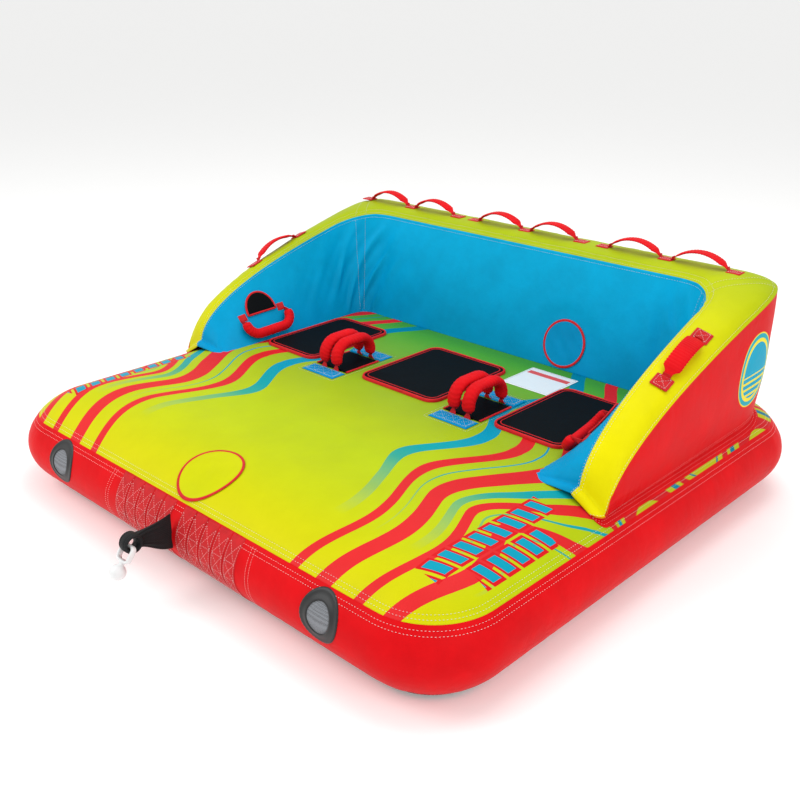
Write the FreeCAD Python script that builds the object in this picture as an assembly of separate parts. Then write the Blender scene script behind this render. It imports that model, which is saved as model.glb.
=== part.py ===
import FreeCAD, Part
import math
import os

from FreeCAD import Matrix, Placement, Vector

# Three-rider towable tube: a crowned inflatable deck with a U-shaped inflatable backrest.
# Millimetres. +X is the rider's left, the tow point faces -Y and +Z is up.
# The origin is the middle of the deck's underside.

# ---- deck -------------------------------------------------------------------
DECK_WIDTH = 1750.0          # between the two side seams of the top panel
DECK_LENGTH = 1630.0         # between its front and rear seams
DECK_CORNER = 180.0          # plan radius of the seam at the four corners
SEAM_HEIGHT = 221.0          # of the top seam above the floor
SIDE_BULGE = 68.0            # how far the side band swells
SIDE_TUCK = 54.0             # how far the underside's edge is tucked in
CROWN_RISE = 85.0            # of the top panel above its seam
CROWN_RUN = 92.0             # over which most of that rise happens
SIDE_STEPS = (0.0, 0.1, 0.3, 0.5, 0.7, 0.9, 1.0)
CROWN_STEPS = (18.0, 45.0, 90.0, 160.0, 250.0)
LEAST_CORNER = 20.0
BASE_EDGE = 10.0             # how far the black underside turns up the side

# ---- cover, bladders and their clearances -----------------------------------
COVER_WALL = 2.0
COVER_GAP = 1.0              # between a cover and the bladder inside it
BLADDER_WALL = 1.5
SEWN_GAP = 0.3               # between a sewn-on piece and the panel it lies on
BAFFLE_WALL = 1.5
BAFFLE_PLACES = (-525.0, -175.0, 175.0, 525.0)
BAFFLE_HOLE = 35.0
BAFFLE_HOLE_PITCH = 280.0
BAFFLE_HOLES = 5

# ---- backrest ---------------------------------------------------------------
NOSE_Y = -185.0              # where the two wings end
CORNER_X = 580.0             # centre of the plan curve at each rear corner
CORNER_Y = 380.0
INNER_BASE_X = 636.0         # foot of the inner panel on the deck
INNER_BASE_Y = 455.0
INNER_TOP_X = 775.0          # top seam of the inner panel at the nose
INNER_TOE = 0.066            # how much the wings close in towards the rear
INNER_TOP_Y = 557.0
INNER_TOP_Z = 647.0
INNER_RUN = 726.0            # length over which the inner seam climbs
OUTER_TOP_X = 857.0
OUTER_TOP_Y = 722.0
OUTER_TOP_Z = 650.0
OUTER_RUN = 894.0
OUTER_BASE_X = 845.0
OUTER_BASE_Y = 690.0
INNER_SQUARE = 2.2           # exponents of the plan curves at the rear corners
BASE_SQUARE = 2.5
OUTER_SQUARE = 6.0
BAND_CROWN = 22.0            # how far the top band swells above its two seams
BAND_SHOULDER = 0.27         # share of the band's width taken by each shoulder
LEAST_HEIGHT = 10.0          # of the cover at the tip of the nose
WING_STATIONS = (-185.0, -165.0, -130.0, -70.0, 60.0, 330.0, 380.0)
CORNER_STATIONS = (22.5, 45.0, 67.5, 90.0)
BACKREST_LIFT = 1.0          # of the backrest above the deck's top panel
SINK = 30.0                  # how deep its sections start below the deck before trimming
HEM_WIDTH = 18.0
HEM_WALL = 1.5

# ---- seat pads and knuckle pads ----------------------------------------------
PAD_FRONT = -40.0
PAD_REAR = 330.0
PAD_CORNER = 40.0
PAD_WALL = 8.0
CENTRE_PAD = (-160.0, 160.0)
SIDE_PAD = (370.0, 618.0)
BINDING_WIDTH = 7.0
BINDING_RAISE = 1.5          # of a binding above the pad that it edges

# ---- deck handles --------------------------------------------------------------
PAIR_X = 273.0               # middle of each pair of handles
HANDLE_SPREAD = 27.0         # of each handle from the middle of its pair
HANDLE_Y = 29.0              # middle of the handles, front to rear
HANDLE_HALF_SPAN = 74.0
HANDLE_TOP = 86.0            # height of the sleeve's centre line over the deck
HANDLE_BEND = 48.0
SLEEVE_WIDTH = 42.0
SLEEVE_THICK = 28.0
HINGE_RISE = 18.0            # of the line about which a handle flops
SLEEVE_FOOT = 24.0           # where the padded sleeve starts above the deck
WEBBING_WIDTH = 25.0
WEBBING_WALL = 2.4
CHANNEL_GAP = 1.0            # between the webbing and the sleeve round it
LAYER_GAP = 0.4              # between two layers of webbing that turn on each other
EAR_TIP = 4.0                # half the width of a foot's ear at the hinge line
PATCH_HALF_WIDTH = 71.0
PATCH_LENGTH = 57.0
PATCH_WALL = 1.5
KNUCKLE_WALL = 5.0
SLOT_GAP = 1.5               # between patch, webbing and knuckle pad

# ---- side handles ---------------------------------------------------------------
SIDE_HANDLE_Y = 18.0
SIDE_HANDLE_FALL = 78.0      # from the deck up the inner panel to the hinge line
SIDE_HALF_SPAN = 86.0
SIDE_DROP = 52.0
SIDE_BEND = 40.0
SIDE_STANDOFF = 19.0         # of the handle's plane from the panel
SIDE_SLEEVE_WIDTH = 28.0
SIDE_SLEEVE_THICK = 32.0
SIDE_WEBBING_WIDTH = 18.0
SIDE_FOOT = 4.0
SIDE_PAD_HALF = 58.0
SIDE_PAD_RISE = 76.0
SIDE_PAD_LIFT = 20.0         # of the knuckle pad above the hinge line
SIDE_EAR = 34.0
PAD_STEPS = 24

# ---- grab straps on the backrest ---------------------------------------------
STRAP_CENTRES = (-560.0, -35.0, 495.0)
STRAP_REACH = 222.0          # from a strap's middle tab to each end tab
TAB_LENGTH = 46.0
TAB_WALL = 2.0
EAR_RISE = 14.0
STRAP_HINGE = 11.0
STRAP_WIDTH = 32.0
STRAP_NECK = 18.0
STRAP_HEIGHT = 42.0
STRAP_WALL = 2.4
WING_STRAP_Y = (95.0, 297.0)
WING_STRAP_WIDTH = 44.0
WING_STRAP_NECK = 24.0
WING_STRAP_HEIGHT = 32.0
WING_STRAP_WALL = 5.0
WING_STRAP_LIFT = 2.0        # of its tabs' plane above the middle of the band

# ---- valves ----------------------------------------------------------------------
DECK_VALVE = (0.0, -722.0)
BACK_VALVE = (255.0, 82.0)   # along X, and up the inner panel from its foot
DECK_FLAP_RADIUS = 92.0
BACK_FLAP_RADIUS = 78.0
FLAP_WALL = 2.0
FLAP_RIM = 7.0
FLAP_RIM_RAISE = 1.5
FLAP_GAP = 0.8
ACCESS_RADIUS = 46.0
VALVE_FLANGE = 34.0
VALVE_FLANGE_WALL = 2.0
VALVE_BORE = 22.0            # radius of the hole in the bladder
VALVE_WALL = 2.5
VALVE_DEPTH = 24.0
VALVE_FIT = 0.4
CAP_THICK = 9.0
CAP_GRIP = (26.0, 5.0, 4.0)

# ---- tow point, vents, zippers and label -----------------------------------------
TOW_Z = 155.0
FAN_TALL = 100.0
FAN_SHORT = 40.0
FAN_WALL = 8.0
TOW_GAP = 0.6                # between the tow strap and the band, and the bar and the eye
EYE_RADIUS = 26.0
EYE_HOLE = 16.0
EYE_WIDTH = 34.0
EYE_REACH = 118.0            # from the seam to the middle of the eye
EYE_RISE = 16.0
BAR_RADIUS = 7.0
LINK_HALF_WIDTH = 26.0
LINK_ARM = 7.0
LINK_THICK = 17.0
LINK_DROP = 44.0
NECK_RADIUS = 7.5
BULB_RADIUS = 21.0
LINK_LENGTH = 92.0
LINK_ANGLE = 55.0            # of the hanging connector below level
TOW_STRAP_WIDTH = 46.0
TOW_STRAP_PITCH = 49.0
TOW_STRAP_COUNT = 5
TOW_STRAP_START = 42.0
TOW_STRAP_WALL = 1.2
VENT_X = 557.0
VENT_Z = 157.0
VENT_RING = 64.0
VENT_HOLE = 36.0
VENT_RING_WALL = 2.0
VENT_MESH_WALL = 1.2
ZIP_WIDTH = 30.0
ZIP_WALL = 1.6
TEETH_WIDTH = 6.0
TEETH_WALL = 2.6
DECK_ZIP_HALF = 600.0
BACK_ZIP_HALF = 480.0
SLIDER = (15.0, 20.0, 9.0)
SLIDER_GAP = 0.5
PULL = (9.0, 34.0, 2.0)
LABEL_X = (188.0, 364.0)
LABEL_Y = (246.0, 410.0)
LABEL_WALL = 0.8

BIG = 6000.0

os.makedirs("parts", exist_ok=True)


# ---- small builders ---------------------------------------------------------------
def box(low, high):
    """A box between two opposite corners."""
    size = [high[i] - low[i] for i in range(3)]
    return Part.makeBox(size[0], size[1], size[2], Vector(*low))


def loft(wires):
    """A solid with straight sides through closed wires."""
    return Part.makeLoft(wires, True, True)


def polygon(points):
    """A closed wire through points."""
    return Part.makePolygon([Vector(*p) for p in points] + [Vector(*points[0])])


def prism(points, along):
    """A flat outline pushed along a vector."""
    return Part.Face(polygon(points)).extrude(Vector(*along))


def placed(shape, origin, x_axis, z_axis):
    """A copy of a shape built at the origin, set on a surface by its own X and Z axes."""
    z = Vector(*z_axis).normalize()
    x = Vector(*x_axis)
    x = (x - z * x.dot(z)).normalize()
    y = z.cross(x)
    turn = Matrix(x.x, y.x, z.x, origin[0],
                  x.y, y.y, z.y, origin[1],
                  x.z, y.z, z.z, origin[2],
                  0, 0, 0, 1)
    copy = shape.copy()
    copy.Placement = Placement(turn).multiply(shape.Placement)
    return copy


def mirrored(shape):
    """The same piece on the other side of the tube."""
    return shape.mirror(Vector(0, 0, 0), Vector(1, 0, 0))


def fused(shapes):
    """One solid from several that touch."""
    whole = shapes[0].multiFuse(shapes[1:]).removeSplitter()
    return whole.Solids[0] if len(whole.Solids) == 1 else whole


def group(shapes):
    """Separate solids that share a node."""
    solids = []
    for shape in shapes:
        solids.extend(shape.Solids)
    return Part.makeCompound(solids)


def rounded_plate(low, high, radius, bottom, thickness):
    """A flat plate with rounded corners in plan."""
    plate = box((low[0], low[1], bottom), (high[0], high[1], bottom + thickness))
    upright = [e for e in plate.Edges if abs(e.tangentAt(e.FirstParameter).z) > 0.99]
    return plate.makeFillet(radius, upright)


def save(name, shape):
    """Write one node."""
    shape.exportStep("parts/" + name + ".step")


# ---- deck ------------------------------------------------------------------------------
def deck_profile():
    """Half section of the deck from the floor up and over: (outset from the seam, height)."""
    points = []
    for step in SIDE_STEPS:
        outset = SIDE_BULGE * (1 - (2 * step - 1) ** 2) - SIDE_TUCK * (1 - step)
        points.append((outset, SEAM_HEIGHT * step))
    for inset in CROWN_STEPS:
        rise = CROWN_RISE * (1 - math.exp(-inset / CROWN_RUN))
        points.append((-inset, SEAM_HEIGHT + rise))
    return points


def outward_mitres(points):
    """For each point of the section, the shift that moves both its faces out by one."""
    normals = [(0.0, -1.0)]
    for (o1, z1), (o2, z2) in zip(points, points[1:]):
        length = math.hypot(o2 - o1, z2 - z1)
        normals.append(((z2 - z1) / length, (o1 - o2) / length))
    normals.append((0.0, 1.0))
    mitres = []
    for (ax, az), (bx, bz) in zip(normals, normals[1:]):
        share = 1 + ax * bx + az * bz
        mitres.append(((ax + bx) / share, (az + bz) / share))
    return mitres


def deck_ring(outset, corner, height):
    """A rounded rectangle round the deck at one height."""
    x = DECK_WIDTH / 2 + outset
    y = DECK_LENGTH / 2 + outset
    s = corner * math.sqrt(0.5)
    cx = x - corner
    cy = y - corner
    edges = []
    quarters = ((1, -1), (1, 1), (-1, 1), (-1, -1))
    ends = []
    for i, (sx, sy) in enumerate(quarters):
        on_x = Vector(sx * x, sy * cy, height)
        on_y = Vector(sx * cx, sy * y, height)
        middle = Vector(sx * (cx + s), sy * (cy + s), height)
        first, last = (on_y, on_x) if i % 2 == 0 else (on_x, on_y)
        ends.append((first, middle, last))
    for i, (first, middle, last) in enumerate(ends):
        edges.append(Part.Arc(first, middle, last).toShape())
        edges.append(Part.LineSegment(last, ends[(i + 1) % 4][0]).toShape())
    return Part.Wire(edges)


DECK_POINTS = deck_profile()
DECK_MITRES = outward_mitres(DECK_POINTS)


def deck_solid(grow):
    """The whole deck, its faces moved out by grow."""
    rings = []
    for (outset, height), (mx, mz) in zip(DECK_POINTS, DECK_MITRES):
        corner = max(DECK_CORNER + outset, LEAST_CORNER)
        rings.append(deck_ring(outset + grow * mx, corner + grow * mx, height + grow * mz))
    return loft(rings)


def deck_height(x, y):
    """Height of the top panel over a point of the plan."""
    cx = DECK_WIDTH / 2 - DECK_CORNER
    cy = DECK_LENGTH / 2 - DECK_CORNER
    if abs(x) > cx and abs(y) > cy:
        inset = DECK_CORNER - math.hypot(abs(x) - cx, abs(y) - cy)
    else:
        inset = min(DECK_WIDTH / 2 - abs(x), DECK_LENGTH / 2 - abs(y))
    crown = DECK_POINTS[len(SIDE_STEPS) - 1:]
    for (o1, z1), (o2, z2) in zip(crown, crown[1:]):
        if inset <= -o2:
            return z1 + (z2 - z1) * (inset + o1) / (o1 - o2)
    return crown[-1][1]


DECK_TOP = DECK_POINTS[-1][1]
DECK_SHAPE = deck_solid(0)
UNDER_COVER = deck_solid(-COVER_WALL)
cover = DECK_SHAPE.cut(UNDER_COVER)


def deck_skin(near, far):
    """A layer that follows the deck's surface between two distances outside it."""
    return deck_solid(far).cut(deck_solid(near))


# The deck valve sits square to the sloping front of the top panel.
valve_y = DECK_VALVE[1]
slope = (deck_height(0, valve_y + 20) - deck_height(0, valve_y - 20)) / 40
DECK_VALVE_NORMAL = (0.0, -slope, 1.0)
DECK_VALVE_POINT = (DECK_VALVE[0], valve_y, deck_height(0, valve_y))


def at_deck_valve(shape):
    """A piece built at the origin, set on the deck's valve place."""
    return placed(shape, DECK_VALVE_POINT, (1, 0, 0), DECK_VALVE_NORMAL)


def round_bar(radius, low, high):
    """An upright cylinder on the origin's axis."""
    return Part.makeCylinder(radius, high - low, Vector(0, 0, low))


def vent_bar(x, radius):
    """A cylinder through the front of the side band at a vent."""
    start = Vector(x, -DECK_LENGTH / 2 - 2 * SIDE_BULGE, VENT_Z)
    return Part.makeCylinder(radius, 3 * SIDE_BULGE, start, Vector(0, 1, 0))


VENTS = (-VENT_X, VENT_X)
side_slab = box((-BIG, -BIG, BASE_EDGE), (BIG, BIG, SEAM_HEIGHT))
top_slab = box((-BIG, -BIG, SEAM_HEIGHT), (BIG, BIG, BIG))
base_slab = box((-BIG, -BIG, -BIG), (BIG, BIG, BASE_EDGE))

band = cover.common(side_slab)
for vent_x in VENTS:
    band = band.cut(vent_bar(vent_x, VENT_HOLE))
save("deck_side_band", group([band]))
save("deck_bottom_panel", group([cover.common(base_slab)]))
top = cover.common(top_slab)
top = top.cut(at_deck_valve(round_bar(ACCESS_RADIUS, -40, 40)))
save("deck_top_panel", group([top]))

bladder_out = COVER_WALL + COVER_GAP
bladder_in = bladder_out + BLADDER_WALL
bladder = deck_solid(-bladder_out).cut(deck_solid(-bladder_in))
bladder = bladder.cut(at_deck_valve(round_bar(VALVE_BORE, -60, 40)))
save("deck_bladder", group([bladder]))

inside = deck_solid(-bladder_in - SEWN_GAP)
baffles = []
for baffle_x in BAFFLE_PLACES:
    sheet = inside.common(box((baffle_x - BAFFLE_WALL / 2, -BIG, -BIG),
                              (baffle_x + BAFFLE_WALL / 2, BIG, BIG)))
    for i in range(BAFFLE_HOLES):
        hole_y = (i - (BAFFLE_HOLES - 1) / 2) * BAFFLE_HOLE_PITCH
        start = Vector(baffle_x - BAFFLE_WALL, hole_y, DECK_TOP / 2)
        sheet = sheet.cut(Part.makeCylinder(BAFFLE_HOLE, 2 * BAFFLE_WALL, start, Vector(1, 0, 0)))
    baffles.append(sheet)
save("deck_baffles", group(baffles))

# Drain vents: a ring sewn on the band, and a mesh disc behind it.
ring_skin = deck_skin(SEWN_GAP, SEWN_GAP + VENT_RING_WALL)
mesh_skin = deck_skin(-COVER_WALL, -COVER_WALL + VENT_MESH_WALL)
rings = []
meshes = []
for vent_x in VENTS:
    collar = vent_bar(vent_x, VENT_RING).cut(vent_bar(vent_x, VENT_HOLE))
    rings.append(ring_skin.common(collar))
    meshes.append(mesh_skin.common(vent_bar(vent_x, VENT_HOLE - SEWN_GAP)))
save("drain_vent_rings", group(rings))
save("drain_vent_meshes", group(meshes))

# Webbing straps sewn up the front band on both sides of the tow point.
strap_skin = deck_skin(SEWN_GAP, SEWN_GAP + TOW_STRAP_WALL)
tow_straps = []
for side in (-1, 1):
    for i in range(TOW_STRAP_COUNT):
        middle = side * (TOW_STRAP_START + i * TOW_STRAP_PITCH)
        cell = box((middle - TOW_STRAP_WIDTH / 2, -BIG, BASE_EDGE),
                   (middle + TOW_STRAP_WIDTH / 2, 0, SEAM_HEIGHT))
        tow_straps.append(strap_skin.common(cell))
save("tow_webbing_straps", group(tow_straps))


# ---- backrest ----------------------------------------------------------------------------
def climb(y, base, top, run):
    """Height of a top seam along a wing: a lying parabola from the nose, level at the back."""
    share = min(max((y - NOSE_Y) / run, 0.0), 1.0)
    return max(base + (top - base) * math.sqrt(share), base + LEAST_HEIGHT)


def plan_curve(phi, x_reach, y_reach, square):
    """A point of a rounded-square corner curve about the corner centre."""
    c = abs(math.cos(math.radians(phi))) ** (2 / square)
    s = abs(math.sin(math.radians(phi))) ** (2 / square)
    if phi >= 90:
        c = 0.0
    return CORNER_X + x_reach * c, CORNER_Y + y_reach * s


def seam_points(inner_base, inner_top, outer_top, outer_base):
    """The four seams of one cross-section, with their heights."""
    foot_in = deck_height(*inner_base) + BACKREST_LIFT
    foot_out = deck_height(*outer_base) + BACKREST_LIFT
    top_in = climb(inner_top[1], foot_in, INNER_TOP_Z, INNER_RUN)
    top_out = climb(outer_top[1], foot_out, OUTER_TOP_Z, OUTER_RUN)
    return [(inner_base[0], inner_base[1], foot_in), (inner_top[0], inner_top[1], top_in),
            (outer_top[0], outer_top[1], top_out), (outer_base[0], outer_base[1], foot_out)]


def inner_top_x(y):
    """Plan position of the inner top seam along a wing."""
    return INNER_TOP_X - INNER_TOE * (y - NOSE_Y)


def section_at(y=None, phi=None):
    """A cross-section of the right half: the direction it faces, and its four seams."""
    if phi is None:
        seams = seam_points((INNER_BASE_X, y), (inner_top_x(y), y),
                            (OUTER_TOP_X, y), (OUTER_BASE_X, y))
        return (1.0, 0.0), seams
    heading = (math.cos(math.radians(phi)), math.sin(math.radians(phi)))
    seams = seam_points(
        plan_curve(phi, INNER_BASE_X - CORNER_X, INNER_BASE_Y - CORNER_Y, BASE_SQUARE),
        plan_curve(phi, inner_top_x(CORNER_Y) - CORNER_X, INNER_TOP_Y - CORNER_Y, INNER_SQUARE),
        plan_curve(phi, OUTER_TOP_X - CORNER_X, OUTER_TOP_Y - CORNER_Y, OUTER_SQUARE),
        plan_curve(phi, OUTER_BASE_X - CORNER_X, OUTER_BASE_Y - CORNER_Y, OUTER_SQUARE))
    return heading, seams


def with_shoulders(heading, seams):
    """The section's corners, from the sunk inner foot over the band to the sunk outer foot."""
    foot_in, top_in, top_out, foot_out = seams
    across = [top_out[i] - top_in[i] for i in range(3)]
    level = across[0] * heading[0] + across[1] * heading[1]
    length = math.hypot(level, across[2])
    height = min(top_in[2] - foot_in[2], top_out[2] - foot_out[2])
    swell = BAND_CROWN * min(1.0, height / 120)
    up = (-across[2] / length * heading[0], -across[2] / length * heading[1], level / length)
    corners = [(foot_in[0], foot_in[1], foot_in[2] - SINK), foot_in, top_in]
    for share in (BAND_SHOULDER, 1 - BAND_SHOULDER):
        corners.append(tuple(top_in[i] + share * across[i] + swell * up[i] for i in range(3)))
    return corners + [top_out, foot_out, (foot_out[0], foot_out[1], foot_out[2] - SINK)]


SHOULDERS = (3, 4)           # where the band's shoulders stand in that list
INNER_SIDE = (0, 2)
BAND_SIDE = (2, 5)
OUTER_SIDE = (5, 7)


def shrunk(heading, corners, inset):
    """The section's corners moved in, so that every side moves by inset."""
    flat = [(p[0] * heading[0] + p[1] * heading[1], p[2]) for p in corners]
    count = len(flat)
    normals = []
    for i in range(count):
        (r1, z1), (r2, z2) = flat[i], flat[(i + 1) % count]
        length = math.hypot(r2 - r1, z2 - z1)
        normals.append(((z2 - z1) / length, (r1 - r2) / length))
    moved = []
    for i in range(count):
        (ar, az), (br, bz) = normals[i - 1], normals[i]
        share = 1 + ar * br + az * bz
        dr = (ar + br) / share * inset
        dz = (az + bz) / share * inset
        x, y, z = corners[i]
        moved.append((x + dr * heading[0], y + dr * heading[1], z + dz))
    return moved


def all_sections(inset):
    """Every cross-section from one nose round to the other, its sides moved in by inset."""
    half = []
    for y in WING_STATIONS:
        heading, seams = section_at(y=y)
        half.append(shrunk(heading, with_shoulders(heading, seams), inset))
    for phi in CORNER_STATIONS:
        heading, seams = section_at(phi=phi)
        half.append(shrunk(heading, with_shoulders(heading, seams), inset))
    return half + [[(-x, y, z) for x, y, z in section] for section in reversed(half)]


def clear_of_deck(shape, gap=0.0):
    """The part of a shape that is above the deck."""
    return shape.cut(deck_solid(BACKREST_LIFT + gap))


def backrest_solid(inset):
    """The whole backrest, every face moved in by inset."""
    whole = loft([polygon(section) for section in all_sections(inset)])
    whole = whole.common(box((-BIG, NOSE_Y + inset, 0), (BIG, BIG, BIG)))
    return clear_of_deck(whole, inset)


def backrest_layer(sides, near, far):
    """A layer along some sides of the section, between two distances inside its face."""
    first, last = sides
    wires = []
    for outer, inner in zip(all_sections(near), all_sections(far)):
        wires.append(polygon(outer[first:last + 1] + inner[first:last + 1][::-1]))
    return loft(wires)


def cover_panel(sides):
    """One cover panel, as long as the whole U."""
    return clear_of_deck(backrest_layer(sides, 0.0, COVER_WALL))


def sewn_layer(sides, wall):
    """A layer that lies on the outside of a cover panel."""
    return backrest_layer(sides, -SEWN_GAP - wall, -SEWN_GAP)


def corner_wedge():
    """The region outside the two corner seams, where the rear panel lies."""
    reach = BIG
    return prism([(-CORNER_X, CORNER_Y, -reach), (CORNER_X, CORNER_Y, -reach),
                  (CORNER_X + reach, CORNER_Y + reach, -reach),
                  (-CORNER_X - reach, CORNER_Y + reach, -reach)], (0, 0, 2 * reach))


# A frame on the back of the inner panel: across, and up the slope from its foot.
BACK_FOOT = (0.0, INNER_BASE_Y, deck_height(0, INNER_BASE_Y) + BACKREST_LIFT)
back_run = (INNER_TOP_Y - INNER_BASE_Y, INNER_TOP_Z - BACK_FOOT[2])
back_slant = math.hypot(*back_run)
BACK_UP = (0.0, back_run[0] / back_slant, back_run[1] / back_slant)
BACK_NORMAL = (0.0, -BACK_UP[2], BACK_UP[1])
BACK_VALVE_POINT = (BACK_VALVE[0], BACK_FOOT[1] + BACK_VALVE[1] * BACK_UP[1],
                    BACK_FOOT[2] + BACK_VALVE[1] * BACK_UP[2])


def at_back_valve(shape):
    """A piece built at the origin, set on the backrest's valve place."""
    return placed(shape, BACK_VALVE_POINT, (1, 0, 0), BACK_NORMAL)


inner_panel = cover_panel(INNER_SIDE).cut(at_back_valve(round_bar(ACCESS_RADIUS, -20, 20)))
save("backrest_inner_panel", group([inner_panel]))

band_panel = cover_panel(BAND_SIDE)
outer_panel = cover_panel(OUTER_SIDE).cut(band_panel)
nose_caps = []
for side in (1, -1):
    rim = [(side * x, y, z) for x, y, z in all_sections(COVER_WALL)[0]]
    cap = clear_of_deck(prism(rim, (0, COVER_WALL, 0)))
    pieces = cap.cut(band_panel).cut(outer_panel).cut(inner_panel).Solids
    nose_caps.append(max(pieces, key=lambda piece: piece.Volume))
save("backrest_top_panel", group([band_panel] + nose_caps))

wedge = corner_wedge()
save("backrest_rear_panel", group([outer_panel.common(wedge)]))
sides = outer_panel.cut(wedge).Solids
save("backrest_right_panel", group([s for s in sides if s.CenterOfMass.x < 0]))
save("backrest_left_panel", group([s for s in sides if s.CenterOfMass.x > 0]))

back_bladder = backrest_solid(bladder_out).cut(backrest_solid(bladder_in))
back_bladder = back_bladder.cut(at_back_valve(round_bar(VALVE_BORE, -40, 20)))
save("backrest_bladder", group([back_bladder]))


def foot_outline(beyond):
    """The outer foot of the backrest in plan, from nose to nose, moved outward. It is drawn at the
    height of the deck's seam, so that a ribbon raised from it meets the top panel only."""
    half = []
    for y in WING_STATIONS:
        half.append((OUTER_BASE_X + beyond, y, SEAM_HEIGHT))
    for phi in CORNER_STATIONS:
        x, y = plan_curve(phi, OUTER_BASE_X - CORNER_X, OUTER_BASE_Y - CORNER_Y, OUTER_SQUARE)
        half.append((x + beyond * math.cos(math.radians(phi)),
                     y + beyond * math.sin(math.radians(phi)), SEAM_HEIGHT))
    return half + [(-x, y, z) for x, y, z in reversed(half)]


HEM_START = 2.0              # of the hem from the outer foot, so it clears the leaning panel
ribbon = prism(foot_outline(HEM_WIDTH) + foot_outline(HEM_START)[::-1], (0, 0, BIG))
save("backrest_hem", group([deck_skin(SEWN_GAP, SEWN_GAP + HEM_WALL).common(ribbon)]))


# ---- seat pads ------------------------------------------------------------------------------
def edged_pad(x_low, x_high):
    """A flat seat pad and the binding sewn round its edge."""
    base = DECK_TOP + SEWN_GAP
    inset = BINDING_WIDTH + SEWN_GAP
    pad = rounded_plate((x_low + inset, PAD_FRONT + inset), (x_high - inset, PAD_REAR - inset),
                        PAD_CORNER - inset, base, PAD_WALL)
    outer = rounded_plate((x_low, PAD_FRONT), (x_high, PAD_REAR), PAD_CORNER, base,
                          PAD_WALL + BINDING_RAISE)
    hollow = rounded_plate((x_low + BINDING_WIDTH, PAD_FRONT + BINDING_WIDTH),
                           (x_high - BINDING_WIDTH, PAD_REAR - BINDING_WIDTH),
                           PAD_CORNER - BINDING_WIDTH, base, PAD_WALL + BINDING_RAISE)
    return pad, outer.cut(hollow)


bindings = []
for name, span in (("seat_pad_right", (-SIDE_PAD[1], -SIDE_PAD[0])),
                   ("seat_pad_centre", CENTRE_PAD), ("seat_pad_left", SIDE_PAD)):
    seat_pad, seat_binding = edged_pad(*span)
    save(name, group([seat_pad]))
    bindings.append(seat_binding)
save("seat_pad_bindings", group(bindings))


# ---- padded handles ----------------------------------------------------------------------------
def arch(face, half_span, bend, foot, top):
    """A section carried up one leg, round two bends and down the other, in the YZ plane.

    face(y, z, turned) gives the section there: level under a leg, upright in the crown.
    """
    turn = top - bend
    pieces = []
    for side in (-1, 1):
        leg = face(side * half_span, foot, False)
        pieces.append(leg.extrude(Vector(0, 0, turn - foot)))
        start = face(side * half_span, turn, False)
        centre = Vector(0, side * (half_span - bend), turn)
        pieces.append(start.revolve(centre, Vector(side, 0, 0), 90))
    crown = face(-(half_span - bend), top, True)
    pieces.append(crown.extrude(Vector(0, 2 * (half_span - bend), 0)))
    return fused(pieces)


def oval_face(wide, thick):
    """An oval section, wide along X."""
    def at(y, z, turned):
        oval = Part.Ellipse(Vector(0, 0, 0), max(wide, thick) / 2, min(wide, thick) / 2)
        outline = Part.Wire(oval.toShape())
        if thick > wide:
            outline.rotate(Vector(0, 0, 0), Vector(0, 0, 1), 90)
        if turned:
            outline.rotate(Vector(0, 0, 0), Vector(1, 0, 0), 90)
        outline.translate(Vector(0, y, z))
        return Part.Face(outline)
    return at


def flat_face(wide, thick):
    """A flat webbing section, wide along X."""
    def at(y, z, turned):
        w, t = wide / 2, thick / 2
        if turned:
            points = [(-w, y, z - t), (w, y, z - t), (w, y, z + t), (-w, y, z + t)]
        else:
            points = [(-w, y - t, z), (w, y - t, z), (w, y + t, z), (-w, y + t, z)]
        return Part.Face(polygon(points))
    return at


def padded_handle(half_span, bend, foot, top, hinge, wide, thick, webbing_wide):
    """A padded sleeve, and the webbing that runs through it down to its hinge line."""
    channel_wide = webbing_wide + 2 * CHANNEL_GAP
    channel_thick = WEBBING_WALL + 2 * CHANNEL_GAP
    sleeve = arch(oval_face(wide, thick), half_span, bend, foot, top)
    channel = arch(flat_face(channel_wide, channel_thick), half_span, bend, foot - 1, top)
    webbing = arch(flat_face(webbing_wide, WEBBING_WALL), half_span, bend, hinge, top)
    return sleeve.cut(channel), webbing


def webbing_foot(half_span, rise, reach, wall):
    """One end of the webbing sewn down flat, with the tapered ear that the handle turns on."""
    w = WEBBING_WIDTH / 2
    near = half_span + WEBBING_WALL / 2 + LAYER_GAP
    ear = prism([(-w, near, SEWN_GAP), (w, near, SEWN_GAP),
                 (EAR_TIP, near, rise), (-EAR_TIP, near, rise)], (0, wall, 0))
    tab = box((-w, near, SEWN_GAP), (w, near + reach, SEWN_GAP + wall))
    return fused([ear, tab])


deck_sleeve, deck_webbing = padded_handle(HANDLE_HALF_SPAN, HANDLE_BEND, SLEEVE_FOOT, HANDLE_TOP,
                                          HINGE_RISE, SLEEVE_WIDTH, SLEEVE_THICK,
                                          WEBBING_WIDTH)
foot_wall = WEBBING_WALL
handle_foot = webbing_foot(HANDLE_HALF_SPAN, HINGE_RISE + 1, 50.0, foot_wall)
feet = []
for side, pair_name in ((-1, "right"), (1, "left")):
    for place, place_name in ((1, "outer"), (-1, "inner")):
        spot = Vector(side * (PAIR_X + place * HANDLE_SPREAD), HANDLE_Y, DECK_TOP)
        node = "deck_handle_" + pair_name + "_" + place_name
        save(node + "_sleeve", group([deck_sleeve.translated(spot)]))
        save(node + "_webbing", group([deck_webbing.translated(spot)]))
        feet.append(handle_foot.translated(spot))
        rear_foot = handle_foot.mirror(Vector(0, 0, 0), Vector(0, 1, 0))
        feet.append(rear_foot.translated(spot))

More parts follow.
